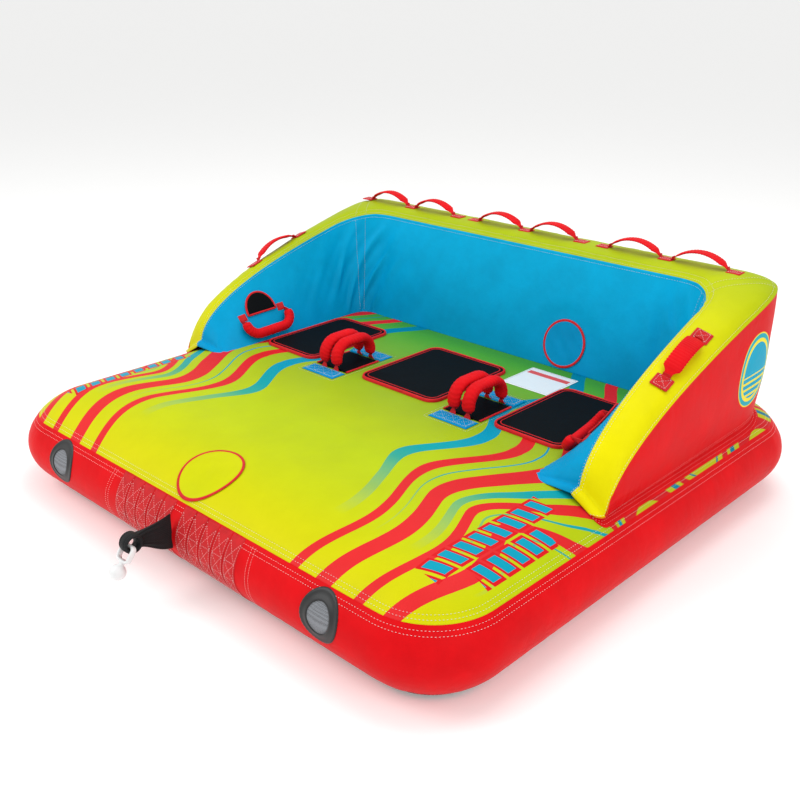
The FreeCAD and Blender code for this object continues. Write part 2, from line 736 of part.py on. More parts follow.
# Patches over the webbing ends, and the knuckle pad between them.
patch_base = DECK_TOP + 2 * SEWN_GAP + foot_wall
outer_ear = HANDLE_HALF_SPAN + WEBBING_WALL / 2 + LAYER_GAP + foot_wall
inner_ear = HANDLE_HALF_SPAN - WEBBING_WALL / 2 - LAYER_GAP
patches = []
knuckles = []
knuckle_edges = []
for side in (-1, 1):
    x_low = side * PAIR_X - PATCH_HALF_WIDTH
    x_high = side * PAIR_X + PATCH_HALF_WIDTH
    for end in (-1, 1):
        near = HANDLE_Y + end * (outer_ear + SLOT_GAP)
        far = near + end * PATCH_LENGTH
        patches.append(box((x_low, min(near, far), patch_base),
                           (x_high, max(near, far), patch_base + PATCH_WALL)))
    pad_low = HANDLE_Y - inner_ear + SLOT_GAP
    pad_high = HANDLE_Y + inner_ear - SLOT_GAP
    base = DECK_TOP + SEWN_GAP
    knuckles.append(box((x_low + BINDING_WIDTH + SEWN_GAP, pad_low, base),
                        (x_high - BINDING_WIDTH - SEWN_GAP, pad_high, base + KNUCKLE_WALL)))
    for x in (x_low, x_high - BINDING_WIDTH):
        knuckle_edges.append(box((x, pad_low, base),
                                 (x + BINDING_WIDTH, pad_high, base + KNUCKLE_WALL)))
save("handle_patches", group(patches))
save("deck_knuckle_pads", group(knuckles))

# Side handles hang on the inner face of each wing. Their frame has Z down the panel's slope,
# Y along the wing and X standing off the panel.
def on_inner_panel(y, rise):
    """A point of the wing's inner panel, a given way up its slope, and that slope."""
    _, seams = section_at(y=y)
    foot, top_seam = Vector(*seams[0]), Vector(*seams[1])
    slope_up = (top_seam - foot).normalize()
    return foot + slope_up * rise, slope_up


SIDE_SPOT, side_up = on_inner_panel(SIDE_HANDLE_Y, SIDE_HANDLE_FALL)
front_end, _ = on_inner_panel(SIDE_HANDLE_Y - SIDE_HALF_SPAN, SIDE_HANDLE_FALL)
rear_end, _ = on_inner_panel(SIDE_HANDLE_Y + SIDE_HALF_SPAN, SIDE_HANDLE_FALL)
side_along = (rear_end - front_end).normalize()
SIDE_NORMAL = side_up.cross(side_along).normalize()
SIDE_DOWN = SIDE_NORMAL.cross(side_along).normalize()
if SIDE_NORMAL.x > 0:
    SIDE_NORMAL = SIDE_NORMAL.negative()
if SIDE_DOWN.z > 0:
    SIDE_DOWN = SIDE_DOWN.negative()


def on_wing(shape, side):
    """A piece built in the side handle's frame, set on the inner face of one wing."""
    piece = placed(shape, tuple(SIDE_SPOT), tuple(SIDE_NORMAL), tuple(SIDE_DOWN))
    return piece if side > 0 else mirrored(piece)


side_sleeve, side_webbing = padded_handle(SIDE_HALF_SPAN, SIDE_BEND, SIDE_FOOT, SIDE_DROP, 0.0,
                                          SIDE_SLEEVE_WIDTH, SIDE_SLEEVE_THICK,
                                          SIDE_WEBBING_WIDTH)
stand = Vector(SIDE_STANDOFF, 0, 0)
for side, name in ((-1, "right"), (1, "left")):
    save("side_handle_" + name + "_sleeve", group([on_wing(side_sleeve.translated(stand), side)]))
    save("side_handle_" + name + "_webbing", group([on_wing(side_webbing.translated(stand), side)]))

# Their feet and knuckle pads follow the panel, which twists a little along the wing.
ear_near = SIDE_HALF_SPAN + WEBBING_WALL / 2 + LAYER_GAP
backrest_skin = loft([polygon(section) for section in all_sections(-SEWN_GAP)])
foot_layer = sewn_layer(INNER_SIDE, foot_wall)
pad_layer = sewn_layer(INNER_SIDE, KNUCKLE_WALL)


def wing_outline(half_width, rise, low):
    """A half-oval window through the inner panel, in the side handle's frame."""
    points = []
    for i in range(PAD_STEPS + 1):
        turn = math.pi * i / PAD_STEPS
        points.append((-SINK, half_width * math.cos(turn), low - rise * math.sin(turn)))
    return prism(points, (2 * SINK, 0, 0))


for end in (-1, 1):
    y_low = min(end * ear_near, end * (ear_near + foot_wall))
    tip = SIDE_STANDOFF + EAR_TIP / 2
    ear = prism([(-SINK, y_low, -SIDE_EAR / 2), (0, y_low, -SIDE_EAR / 2),
                 (tip, y_low, -EAR_TIP / 2), (tip, y_low, EAR_TIP / 2),
                 (0, y_low, EAR_TIP / 2), (-SINK, y_low, EAR_TIP / 2)], (0, foot_wall, 0))
    ear = on_wing(ear, 1).cut(backrest_skin)
    y_far = end * (ear_near + foot_wall)
    y_in = end * (ear_near - WEBBING_WIDTH)
    window = box((-SINK, min(y_far, y_in), -SIDE_EAR), (SINK, max(y_far, y_in), -SIDE_EAR / 3))
    tab = foot_layer.common(on_wing(window, 1))
    feet.append(fused([ear, tab]))
    feet.append(mirrored(feet[-1]))

inset = BINDING_WIDTH + SEWN_GAP
rim = wing_outline(SIDE_PAD_HALF, SIDE_PAD_RISE, -SIDE_PAD_LIFT)
rim_hole = wing_outline(SIDE_PAD_HALF - BINDING_WIDTH, SIDE_PAD_RISE - 2 * BINDING_WIDTH,
                        -SIDE_PAD_LIFT - BINDING_WIDTH)
middle = wing_outline(SIDE_PAD_HALF - inset, SIDE_PAD_RISE - 2 * inset, -SIDE_PAD_LIFT - inset)
side_knuckle = pad_layer.common(on_wing(middle, 1))
side_edge = pad_layer.common(on_wing(rim.cut(rim_hole), 1))
knuckle_edges += [side_edge, mirrored(side_edge)]
save("side_knuckle_pads", group([side_knuckle, mirrored(side_knuckle)]))
save("knuckle_pad_bindings", group(knuckle_edges))
save("handle_webbing_feet", group(feet))


# ---- grab straps on the backrest ------------------------------------------------------------------
def strap_loop(half_span, height, hinge, width, neck, wall):
    """A webbing loop standing in the YZ plane over its hinge line, necked at both feet."""
    def bow(rise, inset):
        start = Vector(0, -half_span + inset, hinge)
        end = Vector(0, half_span - inset, hinge)
        return start, Vector(0, 0, rise), end
    a, top_out, b = bow(height, 0.0)
    c, top_in, d = bow(height - wall, wall)
    outline = Part.Wire([Part.Arc(a, top_out, b).toShape(), Part.LineSegment(b, d).toShape(),
                         Part.Arc(d, top_in, c).toShape(), Part.LineSegment(c, a).toShape()])
    bowed = Part.Face(outline).extrude(Vector(width, 0, 0))
    bowed.translate(Vector(-width / 2, 0, 0))
    step = hinge + 0.35 * (height - hinge)
    window = [(-neck / 2, -half_span - 1, hinge - 1), (neck / 2, -half_span - 1, hinge - 1),
              (width / 2, -half_span - 1, step), (width / 2, -half_span - 1, height + 1),
              (-width / 2, -half_span - 1, height + 1), (-width / 2, -half_span - 1, step)]
    return bowed.common(prism(window, (0, 2 * half_span + 2, 0)))


def strap_tab(length, width, neck, ears, rise, wall, middle, layer, skin, place):
    """A tab sewn on the band, with an upright ear at each end where a loop is hinged."""
    window = box((-width / 2, middle - length / 2, -SINK), (width / 2, middle + length / 2, SINK))
    pieces = [layer.common(place(window))]
    for end in ears:
        y = middle + end * length / 2
        y_low = min(y, y - end * wall)
        ear = box((-neck / 2, y_low, -SINK), (neck / 2, y_low + wall, rise))
        pieces.append(place(ear).cut(skin))
    return fused(pieces)


band_normal_z = INNER_TOP_Z + (OUTER_TOP_Z - INNER_TOP_Z) / 2 + BAND_CROWN
CREST = (0.0, (INNER_TOP_Y + OUTER_TOP_Y) / 2, band_normal_z)
crest_tilt = (OUTER_TOP_Z - INNER_TOP_Z) / (OUTER_TOP_Y - INNER_TOP_Y)
loop_half = (STRAP_REACH - TAB_LENGTH) / 2 - LAYER_GAP
back_loop = strap_loop(loop_half, STRAP_HEIGHT, STRAP_HINGE, STRAP_WIDTH, STRAP_NECK, STRAP_WALL)


def on_crest(shape):
    """A piece built in the straps' frame (Y along X), set on the top of the backrest."""
    return placed(shape, CREST, (0, -1, -crest_tilt), (0, -crest_tilt, 1))


tab_layer = sewn_layer(BAND_SIDE, TAB_WALL)
tabs = []
number = 0
for centre in STRAP_CENTRES:
    for place, ears in ((-1, (1,)), (0, (-1, 1)), (1, (-1,))):
        tabs.append(strap_tab(TAB_LENGTH, STRAP_WIDTH, STRAP_NECK, ears, EAR_RISE, TAB_WALL,
                              centre + place * STRAP_REACH, tab_layer, backrest_skin, on_crest))
    for place in (-1, 1):
        number += 1
        loop = back_loop.translated(Vector(0, centre + place * STRAP_REACH / 2, 0))
        save("back_strap_loop_" + str(number), group([on_crest(loop)]))
save("back_strap_tabs", group(tabs))


def band_middle(y):
    """The middle of the wing's top band at one place, and the direction across it."""
    heading, seams = section_at(y=y)
    corners = with_shoulders(heading, seams)
    a, b = [corners[i] for i in SHOULDERS]
    return [(a[i] + b[i]) / 2 for i in range(3)], [b[i] - a[i] for i in range(3)]


wing_rear, across_rear = band_middle(WING_STRAP_Y[1])
wing_front, across_front = band_middle(WING_STRAP_Y[0])
along = Vector(*[wing_rear[i] - wing_front[i] for i in range(3)])
wing_span = along.Length
wing_across = Vector(*[(across_rear[i] + across_front[i]) / 2 for i in range(3)])
WING_NORMAL = wing_across.cross(along).normalize()
WING_NORMAL = WING_NORMAL if WING_NORMAL.z > 0 else WING_NORMAL.negative()
wing_centre = Vector(*[(wing_rear[i] + wing_front[i]) / 2 for i in range(3)])
WING_SPOT = wing_centre + WING_NORMAL * WING_STRAP_LIFT
wing_x = along.cross(WING_NORMAL).normalize()


def on_wing_band(shape, side):
    """A piece built in a strap's frame, set on the sloping top of one wing."""
    piece = placed(shape, tuple(WING_SPOT), tuple(wing_x), tuple(WING_NORMAL))
    return piece if side > 0 else mirrored(piece)


wing_half = (wing_span - TAB_LENGTH) / 2 - LAYER_GAP
wing_loop = strap_loop(wing_half, WING_STRAP_HEIGHT, STRAP_HINGE, WING_STRAP_WIDTH,
                       WING_STRAP_NECK, WING_STRAP_WALL)
wing_tabs = []
for end in (-1, 1):
    tab = strap_tab(TAB_LENGTH, WING_STRAP_WIDTH, WING_STRAP_NECK, (-end,), EAR_RISE, TAB_WALL,
                    end * wing_span / 2, tab_layer, backrest_skin,
                    lambda shape: on_wing_band(shape, 1))
    wing_tabs += [tab, mirrored(tab)]
for side, name in ((-1, "right"), (1, "left")):
    save("wing_strap_" + name, group([on_wing_band(wing_loop, side)]))
save("wing_strap_tabs", group(wing_tabs))


# ---- valves ------------------------------------------------------------------------------------------
def valve_body(place, layer, outside):
    """A recessed valve set in place: a flange sewn on the bladder, and a cup through its hole."""
    outer = VALVE_BORE - VALVE_FIT
    inner = outer - VALVE_WALL
    bottom = -bladder_out - VALVE_DEPTH
    flange = layer.common(place(round_bar(VALVE_FLANGE, -20, 20)))
    cup = place(round_bar(outer, bottom, 10)).cut(outside)
    whole = fused([flange, cup])
    whole = whole.cut(place(round_bar(inner, bottom + VALVE_WALL, 20)))
    return whole.cut(place(round_bar(inner / 2, bottom - 1, 20)))


def valve_cap():
    """The plug that turns in the cup, with a bar to grip."""
    radius = VALVE_BORE - VALVE_FIT - VALVE_WALL - VALVE_FIT
    top_face = -bladder_out - 2.0
    plug = round_bar(radius, top_face - CAP_THICK, top_face)
    length, width, height = CAP_GRIP
    grip = box((-length / 2, -width / 2, top_face), (length / 2, width / 2, top_face + height))
    return fused([plug, grip])


def flat_flap(radius):
    """A round flap with a raised bound edge, lying just above the panel."""
    disc = round_bar(radius, FLAP_GAP, FLAP_GAP + FLAP_WALL)
    rim = round_bar(radius, FLAP_GAP, FLAP_GAP + FLAP_WALL + FLAP_RIM_RAISE)
    rim = rim.cut(round_bar(radius - FLAP_RIM, 0, 20))
    return fused([disc, rim])


def deck_flap():
    """The deck valve's flap, which lies on the crowned top panel."""
    bar = at_deck_valve(round_bar(DECK_FLAP_RADIUS, -60, 60))
    core = at_deck_valve(round_bar(DECK_FLAP_RADIUS - FLAP_RIM, -70, 70))
    thin = deck_skin(FLAP_GAP, FLAP_GAP + FLAP_WALL).common(bar)
    rim = deck_skin(FLAP_GAP, FLAP_GAP + FLAP_WALL + FLAP_RIM_RAISE).common(bar.cut(core))
    return fused([thin, rim])


flange_far = -bladder_out + SEWN_GAP + VALVE_FLANGE_WALL
flange_near = -bladder_out + SEWN_GAP
around = at_deck_valve(round_bar(ACCESS_RADIUS, -40, 40))
deck_valve_body = valve_body(at_deck_valve, deck_skin(flange_near, flange_far),
                             around.cut(deck_solid(flange_far)))
save("deck_valve_body", group([deck_valve_body]))
save("deck_valve_cap", group([at_deck_valve(valve_cap())]))
save("deck_valve_cover", group([deck_flap()]))
flat_layer = at_back_valve(round_bar(ACCESS_RADIUS, flange_near, flange_far))
back_valve_body = valve_body(at_back_valve, flat_layer,
                             at_back_valve(round_bar(ACCESS_RADIUS, flange_far, 40)))
save("backrest_valve_body", group([back_valve_body]))
save("backrest_valve_cap", group([at_back_valve(valve_cap())]))
save("backrest_valve_cover", group([at_back_valve(flat_flap(BACK_FLAP_RADIUS))]))


# ---- tow point ---------------------------------------------------------------------------------------
front_face = -DECK_LENGTH / 2 - max(point[0] for point in DECK_POINTS)
fan_start = front_face - TOW_GAP
eye_y = front_face - EYE_REACH
eye_z = TOW_Z + EYE_RISE


def tow_strap():
    """Webbing gathered from a tall fan at the seam into an eye across the tube."""
    wide_end = eye_y + EYE_RADIUS - 6
    fan = prism([(-FAN_WALL / 2, fan_start, TOW_Z - FAN_TALL / 2),
                 (-FAN_WALL / 2, fan_start, TOW_Z + FAN_TALL / 2),
                 (-FAN_WALL / 2, wide_end, eye_z + FAN_SHORT / 2),
                 (-FAN_WALL / 2, wide_end, eye_z - FAN_SHORT / 2)], (FAN_WALL, 0, 0))
    edge = fan_start - FAN_WALL
    plan = prism([(0, fan_start, 0), (-FAN_WALL / 2, edge, 0), (-FAN_WALL / 2, wide_end, 0),
                  (FAN_WALL / 2, wide_end, 0), (FAN_WALL / 2, edge, 0)], (0, 0, BIG))
    fan = fan.common(plan)
    start = Vector(-EYE_WIDTH / 2, eye_y, eye_z)
    ring = Part.makeCylinder(EYE_RADIUS, EYE_WIDTH, start, Vector(1, 0, 0))
    hole = Part.makeCylinder(EYE_HOLE, EYE_WIDTH + 2, start - Vector(1, 0, 0), Vector(1, 0, 0))
    return fused([fan, ring]).cut(hole)


def tow_connector():
    """A moulded quick connector: a bar through the eye, two arms, a neck and a bulb."""
    half = LINK_HALF_WIDTH
    thick = LINK_THICK / 2
    pieces = [Part.makeCylinder(BAR_RADIUS, 2 * half - LINK_ARM, Vector(LINK_ARM / 2 - half, 0, 0),
                                Vector(1, 0, 0))]
    for side in (-1, 1):
        x = side * (half - LINK_ARM / 2)
        pieces.append(box((x - LINK_ARM / 2, -thick, -thick), (x + LINK_ARM / 2, thick, LINK_DROP)))
    pieces.append(box((-half, -thick, LINK_DROP - LINK_ARM), (half, thick, LINK_DROP)))
    bulb_z = LINK_LENGTH - BULB_RADIUS
    pieces.append(Part.makeCylinder(NECK_RADIUS, bulb_z - LINK_DROP, Vector(0, 0, LINK_DROP)))
    pieces.append(Part.makeSphere(BULB_RADIUS, Vector(0, 0, bulb_z), Vector(0, 0, 1), -65, 72, 360))
    link = fused(pieces).translated(Vector(0, 0, EYE_HOLE - BAR_RADIUS - TOW_GAP))
    angle = math.radians(LINK_ANGLE)
    heading = (0.0, -math.cos(angle), -math.sin(angle))
    return placed(link, (0, eye_y, eye_z), (1, 0, 0), heading)


save("tow_strap", group([tow_strap()]))
save("tow_connector", group([tow_connector()]))


# ---- zippers -------------------------------------------------------------------------------------------
def zipper(half):
    """Zipper tape with its coil, along X on a flat face."""
    tape = box((-half, -ZIP_WIDTH / 2, SEWN_GAP), (half, ZIP_WIDTH / 2, SEWN_GAP + ZIP_WALL))
    coil = box((-half, -TEETH_WIDTH / 2, SEWN_GAP),
               (half, TEETH_WIDTH / 2, SEWN_GAP + ZIP_WALL + TEETH_WALL))
    return fused([tape, coil])


def zip_slider(x):
    """The slider that straddles the coil, with its pull tab."""
    length, width, height = SLIDER
    base = SEWN_GAP + ZIP_WALL + SLIDER_GAP
    body = box((-length / 2, -width / 2, base), (length / 2, width / 2, base + height))
    slot = TEETH_WIDTH / 2 + SLIDER_GAP
    roof = SEWN_GAP + ZIP_WALL + TEETH_WALL + SLIDER_GAP
    body = body.cut(box((-length, -slot, 0), (length, slot, roof)))
    pull_width, pull_length, pull_wall = PULL
    pull = box((-pull_width / 2, -width / 2 - pull_length + 6, base + height - pull_wall),
               (pull_width / 2, -width / 2 + 6, base + height))
    slider = fused([body, pull])
    slider.translate(Vector(x, 0, 0))
    return slider


widest = sorted(DECK_POINTS[:len(SIDE_STEPS)])[-2:]
by_height = sorted(widest, key=lambda p: p[1])
band_lean = (by_height[1][0] - by_height[0][0], by_height[1][1] - by_height[0][1])
zip_y = DECK_LENGTH / 2 + (by_height[0][0] + by_height[1][0]) / 2
zip_z = (by_height[0][1] + by_height[1][1]) / 2
DECK_ZIP_SPOT = (0.0, zip_y, zip_z)
DECK_ZIP_NORMAL = (0.0, band_lean[1], -band_lean[0])
save("deck_zipper", group([placed(zipper(DECK_ZIP_HALF), DECK_ZIP_SPOT, (-1, 0, 0),
                                  DECK_ZIP_NORMAL)]))
save("deck_zipper_slider", group([placed(zip_slider(DECK_ZIP_HALF - SLIDER[0]), DECK_ZIP_SPOT,
                                         (-1, 0, 0), DECK_ZIP_NORMAL)]))

rear_foot = (0.0, OUTER_BASE_Y, deck_height(0, OUTER_BASE_Y) + BACKREST_LIFT)
rear_run = (OUTER_TOP_Y - OUTER_BASE_Y, OUTER_TOP_Z - rear_foot[2])
REAR_SPOT = (0.0, OUTER_BASE_Y + rear_run[0] / 2, rear_foot[2] + rear_run[1] / 2)
REAR_NORMAL = (0.0, rear_run[1], -rear_run[0])
save("backrest_zipper", group([placed(zipper(BACK_ZIP_HALF), REAR_SPOT, (-1, 0, 0), REAR_NORMAL)]))
save("backrest_zipper_slider", group([placed(zip_slider(BACK_ZIP_HALF - SLIDER[0]), REAR_SPOT,
                                             (-1, 0, 0), REAR_NORMAL)]))

save("care_label", group([box((LABEL_X[0], LABEL_Y[0], DECK_TOP + SEWN_GAP),
                              (LABEL_X[1], LABEL_Y[1], DECK_TOP + SEWN_GAP + LABEL_WALL))]))
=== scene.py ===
import math

import bpy
import numpy as np
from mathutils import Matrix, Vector


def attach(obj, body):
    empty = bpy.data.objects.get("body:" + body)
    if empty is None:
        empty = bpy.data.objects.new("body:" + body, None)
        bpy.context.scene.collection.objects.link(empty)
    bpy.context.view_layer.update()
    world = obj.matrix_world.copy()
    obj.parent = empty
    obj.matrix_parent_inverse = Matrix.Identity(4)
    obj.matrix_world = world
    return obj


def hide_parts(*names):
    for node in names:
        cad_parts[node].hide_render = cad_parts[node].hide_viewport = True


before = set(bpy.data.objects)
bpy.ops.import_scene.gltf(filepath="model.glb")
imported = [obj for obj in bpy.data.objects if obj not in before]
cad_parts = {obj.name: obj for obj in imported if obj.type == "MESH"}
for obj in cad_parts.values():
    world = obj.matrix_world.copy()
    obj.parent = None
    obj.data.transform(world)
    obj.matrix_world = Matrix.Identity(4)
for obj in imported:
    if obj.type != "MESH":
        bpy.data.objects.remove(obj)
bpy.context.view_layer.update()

# Three-rider towable tube in metres, in the frame of its CAD model: +X is the rider's left,
# the tow point faces -Y, and the tube lies on the floor at Z = 0.


# ---- camera, light and floor -------------------------------------------------------------------
# The tube lies on a plain pale floor under soft studio light, seen from above its front left
# corner. Three large soft lights stand in for the softboxes of a product studio.
CAMERA_PLACE = Vector((1.988, -2.088, 1.473))
CAMERA_AIM = Vector((-0.125, 0.119, 0.184))
SOFTBOXES = (("key", (-2.6, -3.4, 3.6), 3.0, 84.0),
             ("fill", (3.6, -1.4, 2.4), 2.6, 34.0),
             ("top", (0.2, 1.0, 4.2), 3.4, 70.0))


def linear(text):
    """A colour written as sRGB hex, as linear RGBA."""
    channels = []
    for start in (1, 3, 5):
        share = int(text[start:start + 2], 16) / 255
        channels.append(share / 12.92 if share <= 0.04045 else ((share + 0.055) / 1.055) ** 2.4)
    return (*channels, 1.0)


def add_node(tree, kind, inputs=None, stops=None, **settings):
    """Adds one node: its settings, its inputs as values or links, and a colour ramp's stops."""
    made = tree.nodes.new(kind)
    for name, value in settings.items():
        setattr(made, name, value)
    for key, value in (inputs or {}).items():
        if isinstance(value, bpy.types.NodeSocket):
            tree.links.new(value, made.inputs[key])
        else:
            made.inputs[key].default_value = value
    if stops:
        ramp = made.color_ramp
        while len(ramp.elements) < len(stops):
            ramp.elements.new(1.0)
        for element, (place, colour) in zip(ramp.elements, stops):
            element.position = place
            element.color = colour
    return made


def new_material(name):
    """An empty node material with its output, its shader and its texture coordinates."""
    made = bpy.data.materials.new(name)
    made.use_nodes = True
    tree = made.node_tree
    tree.nodes.clear()
    out = add_node(tree, "ShaderNodeOutputMaterial")
    shader = add_node(tree, "ShaderNodeBsdfPrincipled")
    tree.links.new(shader.outputs[0], out.inputs[0])
    place = add_node(tree, "ShaderNodeTexCoord")
    return made, tree, shader, place


camera = bpy.data.objects.new("camera", bpy.data.cameras.new("camera"))
camera.data.lens = 45.74
camera.data.sensor_width = 36.0
camera.location = CAMERA_PLACE
camera.rotation_euler = (CAMERA_AIM - CAMERA_PLACE).to_track_quat("-Z", "Y").to_euler()
bpy.context.scene.collection.objects.link(camera)
bpy.context.scene.camera = camera
bpy.context.scene.view_settings.view_transform = "Standard"

for light_name, light_place, light_size, watts in SOFTBOXES:
    lamp = bpy.data.lights.new(light_name, "AREA")
    lamp.shape = "DISK"
    lamp.size = light_size
    lamp.energy = watts
    softbox = bpy.data.objects.new(light_name, lamp)
    softbox.location = light_place
    softbox.rotation_euler = (-Vector(light_place)).to_track_quat("-Z", "Y").to_euler()
    bpy.context.scene.collection.objects.link(softbox)

world = bpy.data.worlds.new("studio")
world.use_nodes = True
world.node_tree.nodes["Background"].inputs["Color"].default_value = (1.0, 1.0, 1.0, 1.0)
world.node_tree.nodes["Background"].inputs["Strength"].default_value = 0.78
bpy.context.scene.world = world

# Floor: matt white studio paper, with a faint tooth.
paper, tree, shader, place = new_material("matt_studio_paper")
shader.inputs["Base Color"].default_value = linear("#F4F4F3")
shader.inputs["Roughness"].default_value = 0.9
shader.inputs["Specular IOR Level"].default_value = 0.1
shader.inputs["Emission Color"].default_value = (1.0, 1.0, 1.0, 1.0)
shader.inputs["Emission Strength"].default_value = 0.16
tooth = add_node(tree, "ShaderNodeTexNoise", {"Vector": place.outputs["Object"], "Scale": 400.0})
tooth_bump = add_node(tree, "ShaderNodeBump", {"Height": tooth.outputs[0], "Distance": 0.0002})
tree.links.new(tooth_bump.outputs[0], shader.inputs["Normal"])
floor_mesh = bpy.data.meshes.new("floor")
reach = 80.0
floor_mesh.from_pydata([(-reach, -reach, -0.0005), (reach, -reach, -0.0005),
                        (reach, reach, -0.0005), (-reach, reach, -0.0005)], [], [(0, 1, 2, 3)])
floor_mesh.materials.append(paper)
floor = bpy.data.objects.new("floor", floor_mesh)
bpy.context.scene.collection.objects.link(floor)


# ---- deck side band ----------------------------------------------------------------------------
# The red side of the deck: a band of coated nylon between the top seam and the black underside.
# Air pressure swells it, and the seam stitching gathers it into small upright puckers.
DECK_HALF = np.array([0.875, 0.815])
DECK_CORNER = 0.180
SEAM_Z = 0.221
BASE_EDGE = 0.010
ZIP_Z = 0.1326
CLOTH_WALL = 0.0015


def rim(straights, bend):
    """Outline of a rounded rectangle in two parts: arc centres in units of the half sizes less
    the radius, and outward directions. A straight moves the centre, a corner the direction."""
    centres, outward = [], []
    turn = np.linspace(0, math.pi / 2, bend, endpoint=False)
    for k in range(4):
        heading = (k - 1) * math.pi / 2
        out = np.round([math.cos(heading), math.sin(heading)])
        ahead = np.array([-out[1], out[0]])
        share = np.linspace(-1, 1, straights[k % 2], endpoint=False)[:, None]
        centres += [out + share * ahead, np.tile(out + ahead, (bend, 1))]
        outward += [np.tile(out, (len(share), 1)),
                    np.stack([np.cos(heading + turn), np.sin(heading + turn)], 1)]
    return np.vstack(centres), np.vstack(outward)


def ring_grid(outline, half, corner, outset, height, shrink=None, middle=(0.0, 0.0), least=0.002):
    """Rounded rectangles one over another: arc centre times (half size + outset - radius), plus
    radius times the outward direction, all times shrink, at that ring's height."""
    centres, outward = outline
    outset = np.asarray(outset, float)[:, None, None]
    shrink = np.ones(len(outset)) if shrink is None else np.asarray(shrink, float)
    radius = np.maximum(corner + outset, least)
    flat = (centres * (np.asarray(half) + outset - radius) + outward * radius)
    flat = flat * shrink[:, None, None] + np.asarray(middle)
    tall = np.broadcast_to(np.asarray(height, float)[:, None, None], flat.shape[:2] + (1,))
    return np.concatenate([flat, tall], 2)


def shell(points, wrap=False, caps=(False, False), inside=None, uv=None):
    """A grid of points as vertices, faces and face-corner UVs in metres. Columns may wrap round,
    and a fan closes the first or last row. Faces are turned to look away from inside."""
    rows, columns = points.shape[:2]
    if uv is None:
        ring = np.concatenate([points, points[:, :1]], 1)
        along = np.linalg.norm(np.diff(ring, axis=1), axis=2).mean(0)
        across = np.linalg.norm(np.diff(points, axis=0), axis=2).mean(1)
        u = np.concatenate([[0], np.cumsum(along)])
        v = np.concatenate([[0], np.cumsum(across)])
        uv = np.stack(np.broadcast_arrays(u[None, :], v[:, None]), 2)
    else:
        uv = np.concatenate([uv, uv[:, :1]], 1)
    index = np.arange(rows * columns).reshape(rows, columns)
    if wrap:
        index = np.concatenate([index, index[:, :1]], 1)
    uv = uv[:, :index.shape[1]]

    def corners(grid):
        return np.stack([grid[:-1, :-1], grid[:-1, 1:], grid[1:, 1:], grid[1:, :-1]], 2)
    faces = corners(index).reshape(-1, 4)
    face_uv = corners(uv).reshape(-1, 4, 2)
    vertices = points.reshape(-1, 3)
    fans, fan_uv = [], []
    for end, row in enumerate((0, rows - 1)):
        if caps[end]:
            first, second = (index[row, 1:], index[row, :-1])
            if end:
                first, second = second, first
            hub = np.full(len(first), len(vertices))
            vertices = np.vstack([vertices, points[row].mean(0)])
            fans.append(np.stack([hub, first, second], 1))
            edge_uv = (uv[row, 1:], uv[row, :-1]) if not end else (uv[row, :-1], uv[row, 1:])
            hub_uv = np.broadcast_to(uv[row].mean(0), edge_uv[0].shape)
            fan_uv.append(np.stack([hub_uv, *edge_uv], 1))
    fans = np.vstack(fans) if fans else np.zeros((0, 3), int)
    fan_uv = np.vstack(fan_uv) if len(fan_uv) else np.zeros((0, 3, 2))
    if inside is not None:
        a, b, c, d = (vertices[faces[:, k]] for k in range(4))
        middle = (a + b + c + d) / 4
        core = np.broadcast_to(inside, points.shape).reshape(-1, 3)[faces[:, 0]]
        if (np.cross(c - a, d - b) * (middle - core)).sum() < 0:
            faces, face_uv = faces[:, ::-1], face_uv[:, ::-1]
            fans, fan_uv = fans[:, ::-1], fan_uv[:, ::-1]
    return vertices, faces, fans, face_uv, fan_uv


def rod(rings):
    """A closed form from rings along a line, capped at both ends, that faces away from it."""
    return shell(rings, True, (True, True), rings.mean(1, keepdims=True))


def travel(points):
    """Unit directions of travel along a path."""
    ahead = np.gradient(points, axis=0)
    return ahead / np.linalg.norm(ahead, axis=1, keepdims=True)


def read_off(points, knots, places):
    """Points read off a path, whose own places along it are the knots, at other places."""
    return np.stack([np.interp(places, knots, points[:, k]) for k in range(3)], 1)


def show(name, shells, material, body="tube", stands_for=(), wall=0.0):
    """One piece from its shells: a mesh at the origin with its UV map, its finish and, for cloth,
    its wall, riding on its body and standing for its CAD nodes."""
    shells = shells if isinstance(shells, list) else [shells]
    vertices, quads, fans, corner_uv, start = [], [], [], [], 0
    for part in shells:
        vertices.append(part[0])
        quads.append(part[1] + start)
        fans.append(part[2] + start)
        start += len(part[0])
    corner_uv = [part[3].reshape(-1, 2) for part in shells]
    corner_uv += [part[4].reshape(-1, 2) for part in shells]
    faces = np.vstack(quads).tolist() + np.vstack(fans).tolist()
    mesh = bpy.data.meshes.new(name)
    mesh.from_pydata(np.vstack(vertices).tolist(), [], faces)
    layer = mesh.uv_layers.new(name="UVMap")
    layer.data.foreach_set("uv", np.vstack(corner_uv).astype(np.float32).ravel())
    mesh.shade_smooth()
    mesh.materials.append(material)
    made = bpy.data.objects.new(name, mesh)
    bpy.context.scene.collection.objects.link(made)
    if wall:
        cloth = made.modifiers.new("wall", "SOLIDIFY")
        cloth.thickness = wall
        cloth.offset = -1.0
    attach(made, body)
    if stands_for:
        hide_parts(*stands_for)
    return made


def side_outset(z):
    """How far the band stands out from the seam at a height: a parabola less the tucked foot."""
    share = np.clip(z / SEAM_Z, 0, 1)
    return 0.068 * (1 - (2 * share - 1) ** 2) - 0.054 * (1 - share)


